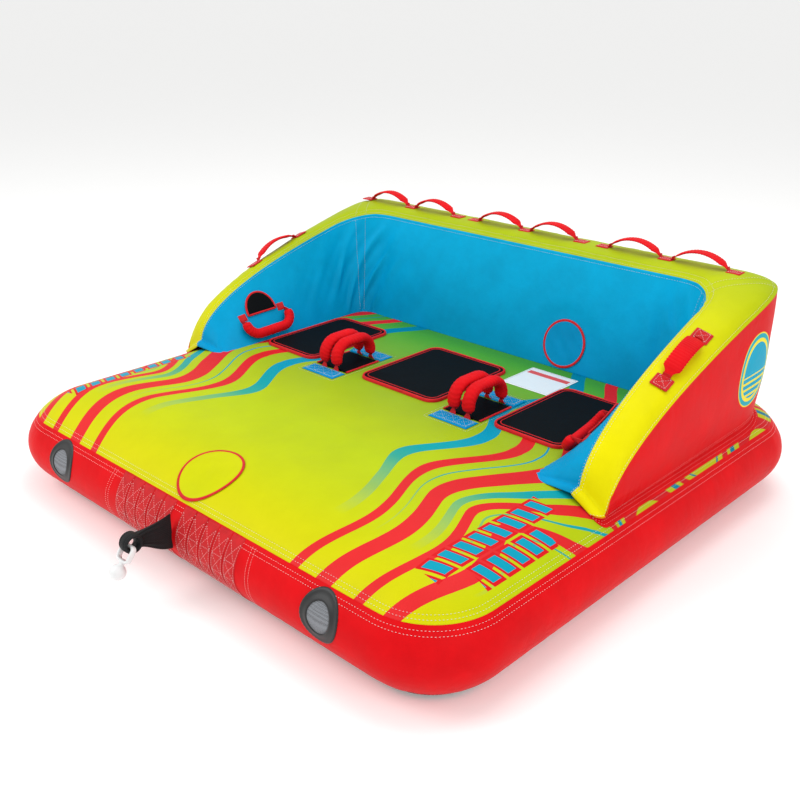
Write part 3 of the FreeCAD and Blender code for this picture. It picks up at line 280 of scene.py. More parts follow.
def gathers(along, away, depth, reach, pitch=0.031):
    """Puckers at a seam: an uneven sine along it, nil on the seam itself, that rises within a few
    millimetres of it and then dies away as an exponential."""
    wave = 0.5 + 0.5 * np.sin(2 * np.pi * along / pitch + 2.3 * np.sin(2 * np.pi * along / 0.193))
    uneven = 0.55 + 0.45 * np.sin(2 * np.pi * along / 0.371 + 1.3)
    return depth * wave * uneven * np.exp(-away / reach) * (1 - np.exp(-away / 0.004))


def coated_cloth(name, colour, paint=None, thread=0.0022, crease=0.0012, rough=0.44, depth=0.88):
    """Coated nylon: threads as crossed waves on the UV map, soft creases and mottling as noise in
    object space. paint, if given, makes the colour in place of the plain one."""
    made, tree, shader, place = new_material(name)
    mottle = add_node(tree, "ShaderNodeTexNoise", {"Vector": place.outputs["Object"],
                                                   "Scale": 9.0, "Detail": 4.0, "Roughness": 0.6})
    shade = add_node(tree, "ShaderNodeValToRGB", {"Fac": mottle.outputs[0]},
                     stops=((0.30, (depth, depth, depth, 1)), (0.68, (1, 1, 1, 1))))
    base = linear(colour) if paint is None else paint(tree, place)
    mixed = add_node(tree, "ShaderNodeMix", {0: 1.0, 6: shade.outputs[0], 7: base},
                     data_type="RGBA", blend_type="MULTIPLY")
    tree.links.new(mixed.outputs[2], shader.inputs["Base Color"])
    warp = add_node(tree, "ShaderNodeTexWave", {"Vector": place.outputs["UV"],
                                                "Scale": 0.314 / thread}, bands_direction="X")
    weft = add_node(tree, "ShaderNodeTexWave", {"Vector": place.outputs["UV"],
                                                "Scale": 0.314 / thread}, bands_direction="Y")
    threads = add_node(tree, "ShaderNodeMath", {0: warp.outputs[1], 1: weft.outputs[1]},
                       operation="ADD")
    folds = add_node(tree, "ShaderNodeTexNoise", {"Vector": place.outputs["Object"], "Scale": 22.0,
                                                  "Detail": 3.0, "Distortion": 0.8})
    fine = add_node(tree, "ShaderNodeMath", {0: threads.outputs[0], 1: 0.00006},
                    operation="MULTIPLY")
    height = add_node(tree, "ShaderNodeMath", {0: folds.outputs[0], 1: crease,
                                               2: fine.outputs[0]}, operation="MULTIPLY_ADD")
    bump = add_node(tree, "ShaderNodeBump", {"Height": height.outputs[0], "Distance": 1.0,
                                             "Strength": 0.8})
    tree.links.new(bump.outputs[0], shader.inputs["Normal"])
    polish = add_node(tree, "ShaderNodeMapRange", {"Value": mottle.outputs[0],
                                                   "To Min": rough - 0.05, "To Max": rough + 0.08})
    tree.links.new(polish.outputs[0], shader.inputs["Roughness"])
    shader.inputs["IOR"].default_value = 1.5
    shader.inputs["Specular IOR Level"].default_value = 0.05
    return made


deck_rim = rim((112, 102), 26)
rim_points = ring_grid(deck_rim, DECK_HALF, DECK_CORNER, [0.0], [SEAM_Z])[0]
rim_steps = np.linalg.norm(np.roll(rim_points, -1, 0) - rim_points, axis=1)
RIM_RUN = np.concatenate([[0], np.cumsum(rim_steps)[:-1]])
band_z = SEAM_Z - (SEAM_Z - BASE_EDGE) * np.array([0, .006, .015, .03, .055, .09, .13, .18, .24, .3,
                                                  .36, .42, .48, .54, .6, .66, .72, .78, .84, .9,
                                                  .95, .98, 1.0])
band_grid = ring_grid(deck_rim, DECK_HALF, DECK_CORNER, side_outset(band_z), band_z)
sink = (gathers(RIM_RUN[None], (SEAM_Z - band_z)[:, None], 0.0042, 0.030)
        + gathers(RIM_RUN[None] + 0.4, (band_z - BASE_EDGE)[:, None], 0.0036, 0.034, 0.043))
# Behind the rear zipper the band is pulled flat.
behind = (deck_rim[1][:, 1] > 0.99) & (np.abs(rim_points[:, 0]) < 0.66)
sink = sink + behind * 0.0030 * np.exp(-((band_z - ZIP_Z) / 0.030) ** 4)[:, None]
band_grid[:, :, :2] -= deck_rim[1] * sink[:, :, None]
red_nylon = coated_cloth("red_coated_nylon", "#D90F16", depth=0.84, crease=0.0016)
deck_band = show("deck_side_cover", shell(band_grid, True, inside=(0, 0, 0.11)), red_nylon,
                 stands_for=["deck_side_band"], wall=CLOTH_WALL)


# ---- deck underside ----------------------------------------------------------------------------
# Black heavy nylon under the deck, turned up 10 mm at its edge where the red band is sewn to it.
under_z = np.array([BASE_EDGE, 0.007, 0.004, 0.0015, 0.0, 0.0, 0.0, 0.0, 0.0, 0.0])
under_out = np.concatenate([side_outset(under_z[:5]) + [0.0012, 0.001, 0, -0.001, -0.004],
                            [-0.10, -0.16, -0.24, -0.24, -0.24]])
under_shrink = np.array([1, 1, 1, 1, 1, 1, 1, 1, 0.5, 0.02])
under_grid = ring_grid(deck_rim, DECK_HALF, DECK_CORNER, under_out, under_z, under_shrink)
black_nylon = coated_cloth("black_heavy_nylon", "#101113", rough=0.55, depth=0.7)
underside = show("deck_underside", shell(under_grid, True, (False, True), (0, 0, 0.11)),
                 black_nylon, stands_for=["deck_bottom_panel"],
                 wall=CLOTH_WALL)


# ---- deck top panel ----------------------------------------------------------------------------
# The crowned top panel: printed nylon, yellow at the tow end and green at the back, with wavy red
# and teal bands down both sides. Two slanted rows of printed bars stand at each front corner.
TOP_RISE = 0.07939
PRINT_LOW, PRINT_HIGH = -0.140, 0.400
RED_BANDS = ((-0.014, 0.014), (0.075, 0.125), (0.197, 0.227), (0.286, 0.324))
TEAL_BANDS = ((-0.097, -0.063), (0.0425, 0.0475), (0.153, 0.178), (0.247, 0.253), (0.342, 0.348))
GROUND = ((-0.78, "#CDC908"), (-0.64, "#BDC607"), (-0.52, "#B5C40A"), (-0.40, "#AFC20E"),
          (-0.28, "#A9BB10"), (-0.16, "#9DB217"), (-0.08, "#94AD1D"), (0.18, "#6CA02E"),
          (0.30, "#5B9D2E"), (0.38, "#47982F"), (0.43, "#3C8E33"))
TEALS = ((-0.40, "#3FA281"), (-0.28, "#0E989D"), (-0.20, "#0597A5"), (-0.12, "#0090AE"),
         (0.30, "#007A98"))


def crown(inset):
    """Rise of the top panel over its seam: an exponential climb that levels out softly."""
    climb = 0.085 * (1 - np.exp(-np.maximum(inset, 0) / 0.092))
    soft = 0.0006
    return -soft * np.logaddexp(-climb / soft, -TOP_RISE / soft)


def deck_inset(x, y):
    """Distance of a place on the deck in from its seam, seen from above."""
    past = np.stack(np.broadcast_arrays(np.abs(x), np.abs(y)), -1) - (DECK_HALF - DECK_CORNER)
    in_corner = DECK_CORNER - np.hypot(np.maximum(past[..., 0], 0), np.maximum(past[..., 1], 0))
    return np.where(past.min(-1) > 0, in_corner, DECK_CORNER - past.max(-1))


def deck_z(x, y):
    """Height of the top panel at a place."""
    return SEAM_Z + crown(deck_inset(np.asarray(x, float), np.asarray(y, float)))


def smooth(value):
    """Smoothstep: 3t² - 2t³ of a value held between 0 and 1."""
    share = np.clip(value, 0, 1)
    return share * share * (3 - 2 * share)


def print_across(x, y, run, inset):
    """Distance across the printed bands: from a wavy line down each side, over a width that grows
    to the rear. On the ledge outside the backrest, which is the second value, they weave along the
    edge instead."""
    front = 0.458 + 0.037 * np.cos(2 * np.pi * (y + 0.62) / 0.52)
    middle = 0.421 + 0.109 * smooth((y + 0.36) / 0.24)
    rear = 0.488 + 0.042 * np.cos(2 * np.pi * (y + 0.105) / 0.40)
    line = np.where(y < -0.36, front, np.where(y < -0.12, middle, rear))
    across = (np.abs(x) - line) / (1 + 0.5 * smooth((y + 0.46) / 0.18))
    weaving = 0.165 + 0.105 * np.sin(2 * np.pi * run / 0.61) + 1.1 * inset
    ledge = smooth((y + 0.20) / 0.10) * (inset < 0.055 + 0.10 * smooth((y - 0.35) / 0.20))
    return across * (1 - ledge) + weaving * ledge, ledge


def banded(limits, low, high):
    """Ramp stops, hard-edged, that are white inside each pair of limits and black between."""
    stops = [(0.0, (0, 0, 0, 1))]
    for start, end in limits:
        stops += [((start - low) / (high - low), (1, 1, 1, 1)),
                  ((end - low) / (high - low), (0, 0, 0, 1))]
    return stops


def deck_paint(tree, place):
    """The deck's print: a ground that runs from yellow to green, teal bands that fade out to the
    front, red bands, and rows of slanted bars."""
    axes = add_node(tree, "ShaderNodeSeparateXYZ", {0: place.outputs["Object"]})
    x, y = axes.outputs[0], axes.outputs[1]
    low, high = GROUND[0][0], GROUND[-1][0]
    share = add_node(tree, "ShaderNodeMapRange", {"Value": y, "From Min": low, "From Max": high})
    ground = add_node(tree, "ShaderNodeValToRGB", {"Fac": share.outputs[0]},
                      stops=[((at - low) / (high - low), linear(c)) for at, c in GROUND])
    ledge = add_node(tree, "ShaderNodeAttribute", attribute_name="print_ledge")
    ground = add_node(tree, "ShaderNodeMix", {0: ledge.outputs["Fac"], 6: ground.outputs[0],
                                              7: linear("#B9BE1C")}, data_type="RGBA")
    low, high = TEALS[0][0], TEALS[-1][0]
    share = add_node(tree, "ShaderNodeMapRange", {"Value": y, "From Min": low, "From Max": high})
    teal = add_node(tree, "ShaderNodeValToRGB", {"Fac": share.outputs[0]},
                    stops=[((at - low) / (high - low), linear(c)) for at, c in TEALS])
    across = add_node(tree, "ShaderNodeAttribute", attribute_name="print_across")
    share = add_node(tree, "ShaderNodeMapRange", {"Value": across.outputs["Fac"],
                                                  "From Min": PRINT_LOW, "From Max": PRINT_HIGH})
    masks = []
    for bands in (TEAL_BANDS, RED_BANDS):
        mask = add_node(tree, "ShaderNodeValToRGB", {"Fac": share.outputs[0]},
                        stops=banded(bands, PRINT_LOW, PRINT_HIGH))
        mask.color_ramp.interpolation = "CONSTANT"
        masks.append(mask.outputs[0])
    fade = add_node(tree, "ShaderNodeMapRange", {"Value": y, "From Min": -0.66, "From Max": -0.36})
    seen = add_node(tree, "ShaderNodeMath", {0: masks[0], 1: fade.outputs[0]},
                    operation="MULTIPLY")
    colour = add_node(tree, "ShaderNodeMix", {0: seen.outputs[0], 6: ground.outputs[2],
                                              7: teal.outputs[0]}, data_type="RGBA")
    red_share = add_node(tree, "ShaderNodeMapRange", {"Value": y, "From Min": -0.70,
                                                      "From Max": -0.10})
    reds = add_node(tree, "ShaderNodeValToRGB", {"Fac": red_share.outputs[0]},
                    stops=((0.0, linear("#D92C2E")), (1.0, linear("#CB1F25"))))
    colour = add_node(tree, "ShaderNodeMix", {0: masks[1], 6: colour.outputs[2],
                                              7: reds.outputs[0]}, data_type="RGBA")
    # Slanted bars: teal with a red outline, 52 mm apart, in one long and one short row.
    width = add_node(tree, "ShaderNodeMath", {0: x}, operation="ABSOLUTE")
    slant = add_node(tree, "ShaderNodeMath", {0: width.outputs[0], 1: -0.40, 2: y},
                     operation="MULTIPLY_ADD")
    count = add_node(tree, "ShaderNodeMath", {0: slant.outputs[0], 1: 1 / 0.052, 2: 40.0},
                     operation="MULTIPLY_ADD")
    along = add_node(tree, "ShaderNodeMath", {0: count.outputs[0]}, operation="FRACT")
    in_bar = add_node(tree, "ShaderNodeValToRGB", {"Fac": along.outputs[0]},
                      stops=((0.0, (0, 0, 0, 1)), (0.05, (1, 0, 0, 1)), (0.19, (1, 1, 0, 1)),
                             (0.74, (1, 0, 0, 1)), (0.88, (0, 0, 0, 1))))
    in_bar.color_ramp.interpolation = "CONSTANT"
    over = add_node(tree, "ShaderNodeMapRange", {"Value": width.outputs[0], "From Min": 0.690,
                                                 "From Max": 0.850})
    in_row = add_node(tree, "ShaderNodeValToRGB", {"Fac": over.outputs[0]},
                      stops=((0.0, (0, 0, 0, 1)), (0.10, (1, 0, 0, 1)), (0.15, (1, 1, 0, 1)),
                             (0.47, (1, 0, 0, 1)), (0.52, (0, 0, 0, 1)), (0.56, (1, 0, 0, 1)),
                             (0.61, (1, 1, 0, 1)), (0.91, (1, 0, 0, 1)), (0.96, (0, 0, 0, 1))))
    in_row.color_ramp.interpolation = "CONSTANT"
    both = add_node(tree, "ShaderNodeMix", {0: 1.0, 6: in_bar.outputs[0], 7: in_row.outputs[0]},
                    data_type="RGBA", blend_type="MULTIPLY")
    length = add_node(tree, "ShaderNodeMapRange", {"Value": width.outputs[0], "From Min": 0.774,
                                                   "From Max": 0.775, "To Min": 0.212,
                                                   "To Max": 0.130})
    centred = add_node(tree, "ShaderNodeMath", {0: y, 1: 0.490}, operation="ADD")
    distance = add_node(tree, "ShaderNodeMath", {0: centred.outputs[0]}, operation="ABSOLUTE")
    near = add_node(tree, "ShaderNodeMath", {0: distance.outputs[0], 1: length.outputs[0]},
                    operation="LESS_THAN")
    bars = add_node(tree, "ShaderNodeSeparateColor", {0: both.outputs[2]})
    for channel, tint in ((0, "#D0181E"), (1, "#0597B2")):
        part = add_node(tree, "ShaderNodeMath", {0: bars.outputs[channel], 1: near.outputs[0]},
                        operation="MULTIPLY")
        colour = add_node(tree, "ShaderNodeMix", {0: part.outputs[0], 6: colour.outputs[2],
                                                  7: linear(tint)}, data_type="RGBA")
    return colour.outputs[2]


top_inset = np.concatenate([np.array([0, 2, 5, 9, 14, 20, 27, 35]) / 1000,
                            np.arange(0.043, 0.25, 0.0082), np.full(34, 0.25)])
top_shrink = np.concatenate([np.ones(len(top_inset) - 34), np.linspace(1, 0.012, 35)[1:]])
top_grid = ring_grid(deck_rim, DECK_HALF, DECK_CORNER, -top_inset, SEAM_Z + crown(top_inset),
                     top_shrink, least=0.040)
top_grid[:, :, 2] -= gathers(RIM_RUN[None] + 0.21, top_inset[:, None], 0.0034, 0.026)
run = np.broadcast_to(RIM_RUN[None], top_grid.shape[:2])
depth_in = np.broadcast_to(np.where(top_shrink < 1, 0.3, top_inset)[:, None], top_grid.shape[:2])
printed_nylon = coated_cloth("printed_coated_nylon", None, deck_paint, depth=0.93, crease=0.0009,
                             rough=0.42)
deck_top = show("deck_top_cover", shell(top_grid, True, (False, True), (0, 0, 0.1),
                                        uv=top_grid[:, :, :2]), printed_nylon,
                stands_for=["deck_top_panel"], wall=CLOTH_WALL)
across, ledge = print_across(top_grid[:, :, 0], top_grid[:, :, 1], run, depth_in)
for attribute_name, field in (("print_across", across), ("print_ledge", ledge)):
    field = np.append(field, field[-1, -1]).astype(np.float32)
    values = deck_top.data.attributes.new(attribute_name, "FLOAT", "POINT")
    values.data.foreach_set("value", field)


# ---- deck stitching ----------------------------------------------------------------------------
# White bonded thread: a double row just inside the top seam, another round the red band below it,
# and a single row at the foot where the black underside is sewn on.
STITCH_PITCH = 0.0085


def stitches(lines, pitch=STITCH_PITCH, thick=0.0009):
    """Stitches along lines given as (points, outward directions): every pitch, an octahedron
    stretched along the line to two thirds of the pitch."""
    vertices, faces, start = [], [], 0
    for points, outward in lines:
        points = np.asarray(points, float)
        outward = np.broadcast_to(np.asarray(outward, float), points.shape)
        run = np.concatenate([[0], np.cumsum(np.linalg.norm(np.diff(points, axis=0), axis=1))])
        count = max(1, int(round(run[-1] / pitch)))
        middle = (np.arange(count) + 0.5) * run[-1] / count
        head, tail = (read_off(points, run, middle + shift) for shift in (pitch / 3, -pitch / 3))
        spot = (head + tail) / 2
        ahead = (head - tail) / 2
        up = read_off(outward, run, middle)
        up = up / np.linalg.norm(up, axis=1, keepdims=True) * thick * 0.6
        side = np.cross(up, ahead)
        side = side / np.maximum(np.linalg.norm(side, axis=1, keepdims=True), 1e-9) * thick * 0.7
        vertices.append(np.stack([spot + ahead, spot - ahead, spot + side, spot - side,
                                  spot + up, spot - up], 1).reshape(-1, 3))
        eight = np.array([(0, 2, 4), (2, 1, 4), (1, 3, 4), (3, 0, 4),
                          (2, 0, 5), (1, 2, 5), (3, 1, 5), (0, 3, 5)])
        faces.append((eight[None] + 6 * np.arange(count)[:, None, None]).reshape(-1, 3) + start)
        start += 6 * count
    faces = np.vstack(faces)
    return (np.vstack(vertices), np.zeros((0, 4), int), faces,
            np.zeros((0, 4, 2)), np.zeros((len(faces), 3, 2)))


def bonded_thread(name, colour):
    """Bonded polyester thread: satin, with a fine twist as a wave in object space."""
    made, tree, shader, place = new_material(name)
    twist = add_node(tree, "ShaderNodeTexWave", {"Vector": place.outputs["Object"], "Scale": 260.0,
                                                 "Distortion": 1.5}, bands_direction="DIAGONAL")
    tone = add_node(tree, "ShaderNodeMix", {0: twist.outputs[1], 6: linear(colour),
                                            7: tuple(0.8 * c for c in linear(colour)[:3]) + (1,)},
                    data_type="RGBA")
    tree.links.new(tone.outputs[2], shader.inputs["Base Color"])
    bump = add_node(tree, "ShaderNodeBump", {"Height": twist.outputs[1], "Distance": 0.0002})
    tree.links.new(bump.outputs[0], shader.inputs["Normal"])
    shader.inputs["Roughness"].default_value = 0.5
    return made


def closed(points):
    """A loop of points with its first repeated at its end."""
    return np.concatenate([points, points[:1]])


def deck_normal(x, y):
    """Unit outward direction of the top panel, from the height's slope to each side."""
    step = 0.002
    slope_x = (deck_z(x + step, y) - deck_z(x - step, y)) / (2 * step)
    slope_y = (deck_z(x, y + step) - deck_z(x, y - step)) / (2 * step)
    normal = np.stack([-slope_x, -slope_y, np.ones_like(slope_x)], -1)
    return normal / np.linalg.norm(normal, axis=-1, keepdims=True)


def front_band(x, z, above=0.0):
    """Points on the front of the side band, at a place across and a height."""
    x, z = np.broadcast_arrays(np.asarray(x, float), np.asarray(z, float))
    return np.stack([x, -DECK_HALF[1] - side_outset(z) - above, z], -1)


def front_normal(x, z):
    """Unit outward direction of the front of the side band."""
    x, z = np.broadcast_arrays(np.asarray(x, float), np.asarray(z, float))
    step = 0.002
    slope = (side_outset(z + step) - side_outset(z - step)) / (2 * step)
    normal = np.stack([np.zeros_like(x), -np.ones_like(z), -slope], -1)
    return normal / np.linalg.norm(normal, axis=-1, keepdims=True)


white_thread = bonded_thread("white_bonded_thread", "#F2F0EC")
pink_thread = bonded_thread("pink_bonded_thread", "#F2A9A6")
deck_rows = []
for inset_row in (0.007, 0.016):
    ring = ring_grid(deck_rim, DECK_HALF, DECK_CORNER, [-inset_row],
                     [SEAM_Z + crown(inset_row) + 0.0008])[0]
    deck_rows.append((closed(ring), np.append(deck_rim[1], deck_rim[1][:1], 0) @
                      np.array([[1, 0, 0], [0, 1, 0]]) + [0, 0, 1.6]))
for row_z in (0.212, 0.203, 0.016):
    ring = ring_grid(deck_rim, DECK_HALF, DECK_CORNER, [side_outset(row_z) + 0.0006], [row_z])[0]
    outward = np.append(deck_rim[1], deck_rim[1][:1], 0) @ np.array([[1, 0, 0], [0, 1, 0]])
    deck_rows.append((closed(ring), outward + [0, 0, 0.3]))
show("deck_seam_stitches", stitches(deck_rows), white_thread)


# ---- tow webbing -------------------------------------------------------------------------------
# Ten red webbing straps run up the front band beside the tow point and spread its pull. Each is
# sewn down with a boxed cross and with long curved rows.
STRAP_FIRST = 0.042
STRAP_PITCH = 0.049
STRAP_HALF = 0.023
ROW_LOW, CELL = 0.030, 0.0445       # foot of the stitching, and height of each boxed cross
ROW_SHARE = 0.82                    # of a strap's half width, where its rows run


def webbing_weave(name, colour, rib=0.0032, rough=0.62):
    """Woven webbing: ribs across the strap and a herringbone, as waves on the UV map."""
    made, tree, shader, place = new_material(name)
    ribs = add_node(tree, "ShaderNodeTexWave", {"Vector": place.outputs["UV"],
                                                "Scale": 0.314 / rib}, bands_direction="Y")
    twill = add_node(tree, "ShaderNodeTexWave", {"Vector": place.outputs["UV"],
                                                 "Scale": 0.314 / (rib * 0.8)},
                     bands_direction="DIAGONAL")
    mottle = add_node(tree, "ShaderNodeTexNoise", {"Vector": place.outputs["Object"],
                                                   "Scale": 45.0, "Detail": 3.0})
    height = add_node(tree, "ShaderNodeMath", {0: ribs.outputs[1], 1: twill.outputs[1]},
                      operation="ADD")
    # Painted shade in the grooves of the ribs and twill, with a random mottle: low places are
    # darkened to 0.62 of the colour.
    groove_shade_and_mottle = add_node(tree, "ShaderNodeMath", {0: height.outputs[0], 1: 0.35,
                                             2: mottle.outputs[0]}, operation="MULTIPLY_ADD")
    tone = add_node(tree, "ShaderNodeValToRGB", {"Fac": groove_shade_and_mottle.outputs[0]},
                    stops=((0.35, tuple(0.62 * c for c in linear(colour)[:3]) + (1,)),
                           (1.0, linear(colour))))
    tree.links.new(tone.outputs[0], shader.inputs["Base Color"])
    bump = add_node(tree, "ShaderNodeBump", {"Height": height.outputs[0], "Distance": 0.0004})
    tree.links.new(bump.outputs[0], shader.inputs["Normal"])
    shader.inputs["Roughness"].default_value = rough
    shader.inputs["Specular IOR Level"].default_value = 0.25
    return made


red_webbing = webbing_weave("red_polyester_webbing", "#CF161D")
dark_webbing = webbing_weave("black_polyester_webbing", "#17181A")
tow_straps, tow_rows = [], []
strap_z = np.linspace(BASE_EDGE + 0.001, SEAM_Z - 0.001, 30)
across = np.array([-1.0, -0.96, -0.5, 0.0, 0.5, 0.96, 1.0])
lift = np.array([0.0002, 0.0015, 0.0018, 0.0018, 0.0018, 0.0015, 0.0002])
for side in (-1, 1):
    for number in range(5):
        middle = side * (STRAP_FIRST + number * STRAP_PITCH)
        grid = front_band(middle + STRAP_HALF * across[None, :], strap_z[:, None], lift[None, :])
        tow_straps.append(shell(grid, inside=(0, 0, 0.11)))
        for edge in (-ROW_SHARE, ROW_SHARE):
            rise = np.linspace(ROW_LOW, ROW_LOW + 4 * CELL, 24)
            place = middle + edge * STRAP_HALF
            tow_rows.append((front_band(place, rise, 0.0022), front_normal(place, rise)))
        for cell in range(4):
            base = ROW_LOW + cell * CELL
            rise = np.linspace(base, base + CELL, 8)
            swing = ROW_SHARE * STRAP_HALF * np.linspace(-1, 1, 8)
            for turn in (-1, 1):
                tow_rows.append((front_band(middle + turn * swing, rise, 0.0022),
                                 front_normal(middle + swing, rise)))
            level = middle + ROW_SHARE * STRAP_HALF * np.linspace(-1, 1, 6)
            tow_rows.append((front_band(level, base, 0.0022), front_normal(level, base)))
    for far in (0.292, 0.304):
        rise = np.linspace(0.014, 0.216, 24)
        bow = side * (far + 0.010 * np.sin(np.pi * rise / 0.22))
        tow_rows.append((front_band(bow, rise, 0.001), front_normal(bow, rise)))
show("tow_webbing", tow_straps, red_webbing, stands_for=["tow_webbing_straps"],
     wall=0.0008)
show("tow_webbing_stitches", stitches(tow_rows, 0.0065, 0.0009), white_thread)


# ---- drain vents -------------------------------------------------------------------------------
# Two drains in the front band: a moulded black ring, ribbed at its edge, round a grey mesh.
VENT_X, VENT_Z = 0.557, 0.157
RING_OUT, RING_IN = 0.061, 0.036


def moulded(name, colour, rough=0.45, grain=900.0, relief=0.00006):
    """Moulded plastic: fine spark-erosion grain as noise in object space, and soft mottling."""
    made, tree, shader, place = new_material(name)
    texture = add_node(tree, "ShaderNodeTexNoise", {"Vector": place.outputs["Object"],
                                                    "Scale": grain, "Detail": 2.0})
    cloudy = add_node(tree, "ShaderNodeTexNoise", {"Vector": place.outputs["Object"],
                                                   "Scale": 30.0, "Detail": 3.0})
    tone = add_node(tree, "ShaderNodeMix", {0: cloudy.outputs[0], 6: linear(colour),
                                            7: tuple(0.78 * c for c in linear(colour)[:3]) + (1,)},
                    data_type="RGBA")
    tree.links.new(tone.outputs[2], shader.inputs["Base Color"])
    bump = add_node(tree, "ShaderNodeBump", {"Height": texture.outputs[0], "Distance": relief})
    tree.links.new(bump.outputs[0], shader.inputs["Normal"])
    gloss = add_node(tree, "ShaderNodeMapRange", {"Value": cloudy.outputs[0],
                                                  "To Min": rough - 0.06, "To Max": rough + 0.1})
    tree.links.new(gloss.outputs[0], shader.inputs["Roughness"])
    return made


def vent_grid(x, radii, lifts, ribs=0.0):
    """Rings about a vent, laid on the swollen front band; ribs ripple them."""
    turn = np.linspace(0, 2 * np.pi, 72, endpoint=False)[None, :]
    radius = np.asarray(radii)[:, None]
    height = np.asarray(lifts)[:, None] + ribs * np.cos(36 * turn) * (radius > 0.05)
    return front_band(x + radius * np.cos(turn), VENT_Z + radius * np.sin(turn), height)


mesh_grey, tree, shader, place = new_material("grey_open_mesh_fabric")
# Open mesh: grey knitted threads round holes 3 mm apart, painted dark as shade in the holes.
holes = add_node(tree, "ShaderNodeTexVoronoi", {"Vector": place.outputs["Object"], "Scale": 330.0,
                                                "Randomness": 0.15})
threads_and_hole_shade = add_node(tree, "ShaderNodeValToRGB", {"Fac": holes.outputs["Distance"]},
                stops=((0.25, linear("#34363A")), (0.45, linear("#7E8186"))))
tree.links.new(threads_and_hole_shade.outputs[0], shader.inputs["Base Color"])
mesh_bump = add_node(tree, "ShaderNodeBump", {"Height": holes.outputs["Distance"],
                                              "Distance": 0.0006})
tree.links.new(mesh_bump.outputs[0], shader.inputs["Normal"])
shader.inputs["Roughness"].default_value = 0.7
black_moulding = moulded("black_moulded_pvc", "#141516", 0.42)
vent_rings, vent_meshes = [], []
for x in (-VENT_X, VENT_X):
    radii = [RING_OUT, RING_OUT - 0.0005, 0.058, 0.055, 0.053, 0.046, 0.041, 0.038,
             RING_IN, RING_IN]
    lifts = [0.0, 0.0016, 0.0026, 0.0024, 0.0016, 0.0018, 0.0034, 0.0036, 0.0024, 0.0]
    vent_rings.append(shell(vent_grid(x, radii, lifts, 0.0004), True, inside=(0, 0, 0.11)))
    radii = [0.0370, 0.030, 0.020, 0.010, 0.0004]
    vent_meshes.append(shell(vent_grid(x, radii, [0.0006, 0.0004, 0.0, -0.0002, -0.0003]), True,
                             (False, True), (0, 0, 0.11)))
    vent_meshes[-1][0][:, 1] -= 0.0009
show("drain_rings", vent_rings, black_moulding,
     stands_for=["drain_vent_rings"], wall=0.0010)
vent_mesh = show("drain_meshes", vent_meshes, mesh_grey,
                 stands_for=["drain_vent_meshes"], wall=0.0006)


# ---- seat pads ---------------------------------------------------------------------------------
# Three black foam pads with a pebbled cover, slightly crowned, each edged with a red binding that
# is sewn down in two rows.
DECK_TOP = SEAM_Z + TOP_RISE
PAD_Y = (-0.040, 0.330)
PAD_SPANS = {"seat_pad_right": (-0.618, -0.370), "seat_pad_centre": (-0.160, 0.160),
             "seat_pad_left": (0.370, 0.618)}


def plate_rows(half, corner, rows):
    """Closed skin of a thin plate from rows of (inset, height): rings over each other, then rings
    that shrink to the middle."""
    rows = np.asarray(rows, float)
    inner = np.linspace(1, 0.02, 14)[1:]
    outset = np.concatenate([-rows[:, 0], np.full(13, -rows[-1, 0])])
    height = np.concatenate([rows[:, 1], np.full(13, rows[-1, 1])])
    shrink = np.concatenate([np.ones(len(rows)), inner])
    return outset, height, shrink


def foam_cover(name, colour, pebble=0.0022, rough=0.6):
    """Embossed foam-backed cloth: pebbles as rounded Voronoi cells, with a dusty mottle."""
    made, tree, shader, place = new_material(name)
    cells = add_node(tree, "ShaderNodeTexVoronoi", {"Vector": place.outputs["Object"],
                                                    "Scale": 1 / pebble}, feature="SMOOTH_F1")
    dust = add_node(tree, "ShaderNodeTexNoise", {"Vector": place.outputs["Object"], "Scale": 14.0,
                                                 "Detail": 4.0})
    tone = add_node(tree, "ShaderNodeMix", {0: dust.outputs[0], 6: linear(colour),
                                            7: linear("#0C0F12")}, data_type="RGBA")
    tree.links.new(tone.outputs[2], shader.inputs["Base Color"])
    bump = add_node(tree, "ShaderNodeBump", {"Height": cells.outputs["Distance"],
                                             "Distance": 0.0006, "Strength": 0.7})
    tree.links.new(bump.outputs[0], shader.inputs["Normal"])
    gloss = add_node(tree, "ShaderNodeMapRange", {"Value": dust.outputs[0], "To Min": rough - 0.08,
                                                  "To Max": rough + 0.1})
    tree.links.new(gloss.outputs[0], shader.inputs["Roughness"])
    shader.inputs["Specular IOR Level"].default_value = 0.04
    return made


def plate(x_span, y_span, corner, base, rise, crowned=0.0):
    """A thin pad: its edge rolls up from base over rise, and its middle is crowned."""
    half = np.array([x_span[1] - x_span[0], y_span[1] - y_span[0]]) / 2
    middle = (np.mean(x_span), np.mean(y_span))
    outset, height, shrink = plate_rows(half, corner, [
        (0.004, base), (0.0008, base + 0.1 * rise), (0, base + 0.45 * rise),
        (0.0012, base + 0.8 * rise), (0.004, base + rise), (0.012, base + rise)])
    grid = ring_grid(rim((10, 10), 7), half, corner, outset, height, shrink, middle)
    spread = [((grid[:, :, k] - middle[k]) / half[k]) ** 2 for k in (0, 1)]
    swell = np.clip(1 - spread[0] ** 2, 0, 1) * np.clip(1 - spread[1] ** 2, 0, 1)
    grid[5:, :, 2] += crowned * swell[5:]
    inside = (middle[0], middle[1], base + rise * 0.2)
    under = np.repeat(grid[:1], 2, 0)
    under[0, :, :2] = middle + 0.02 * (grid[0, :, :2] - middle)
    return shell(np.concatenate([under[:1], grid]), True, (True, True), inside)


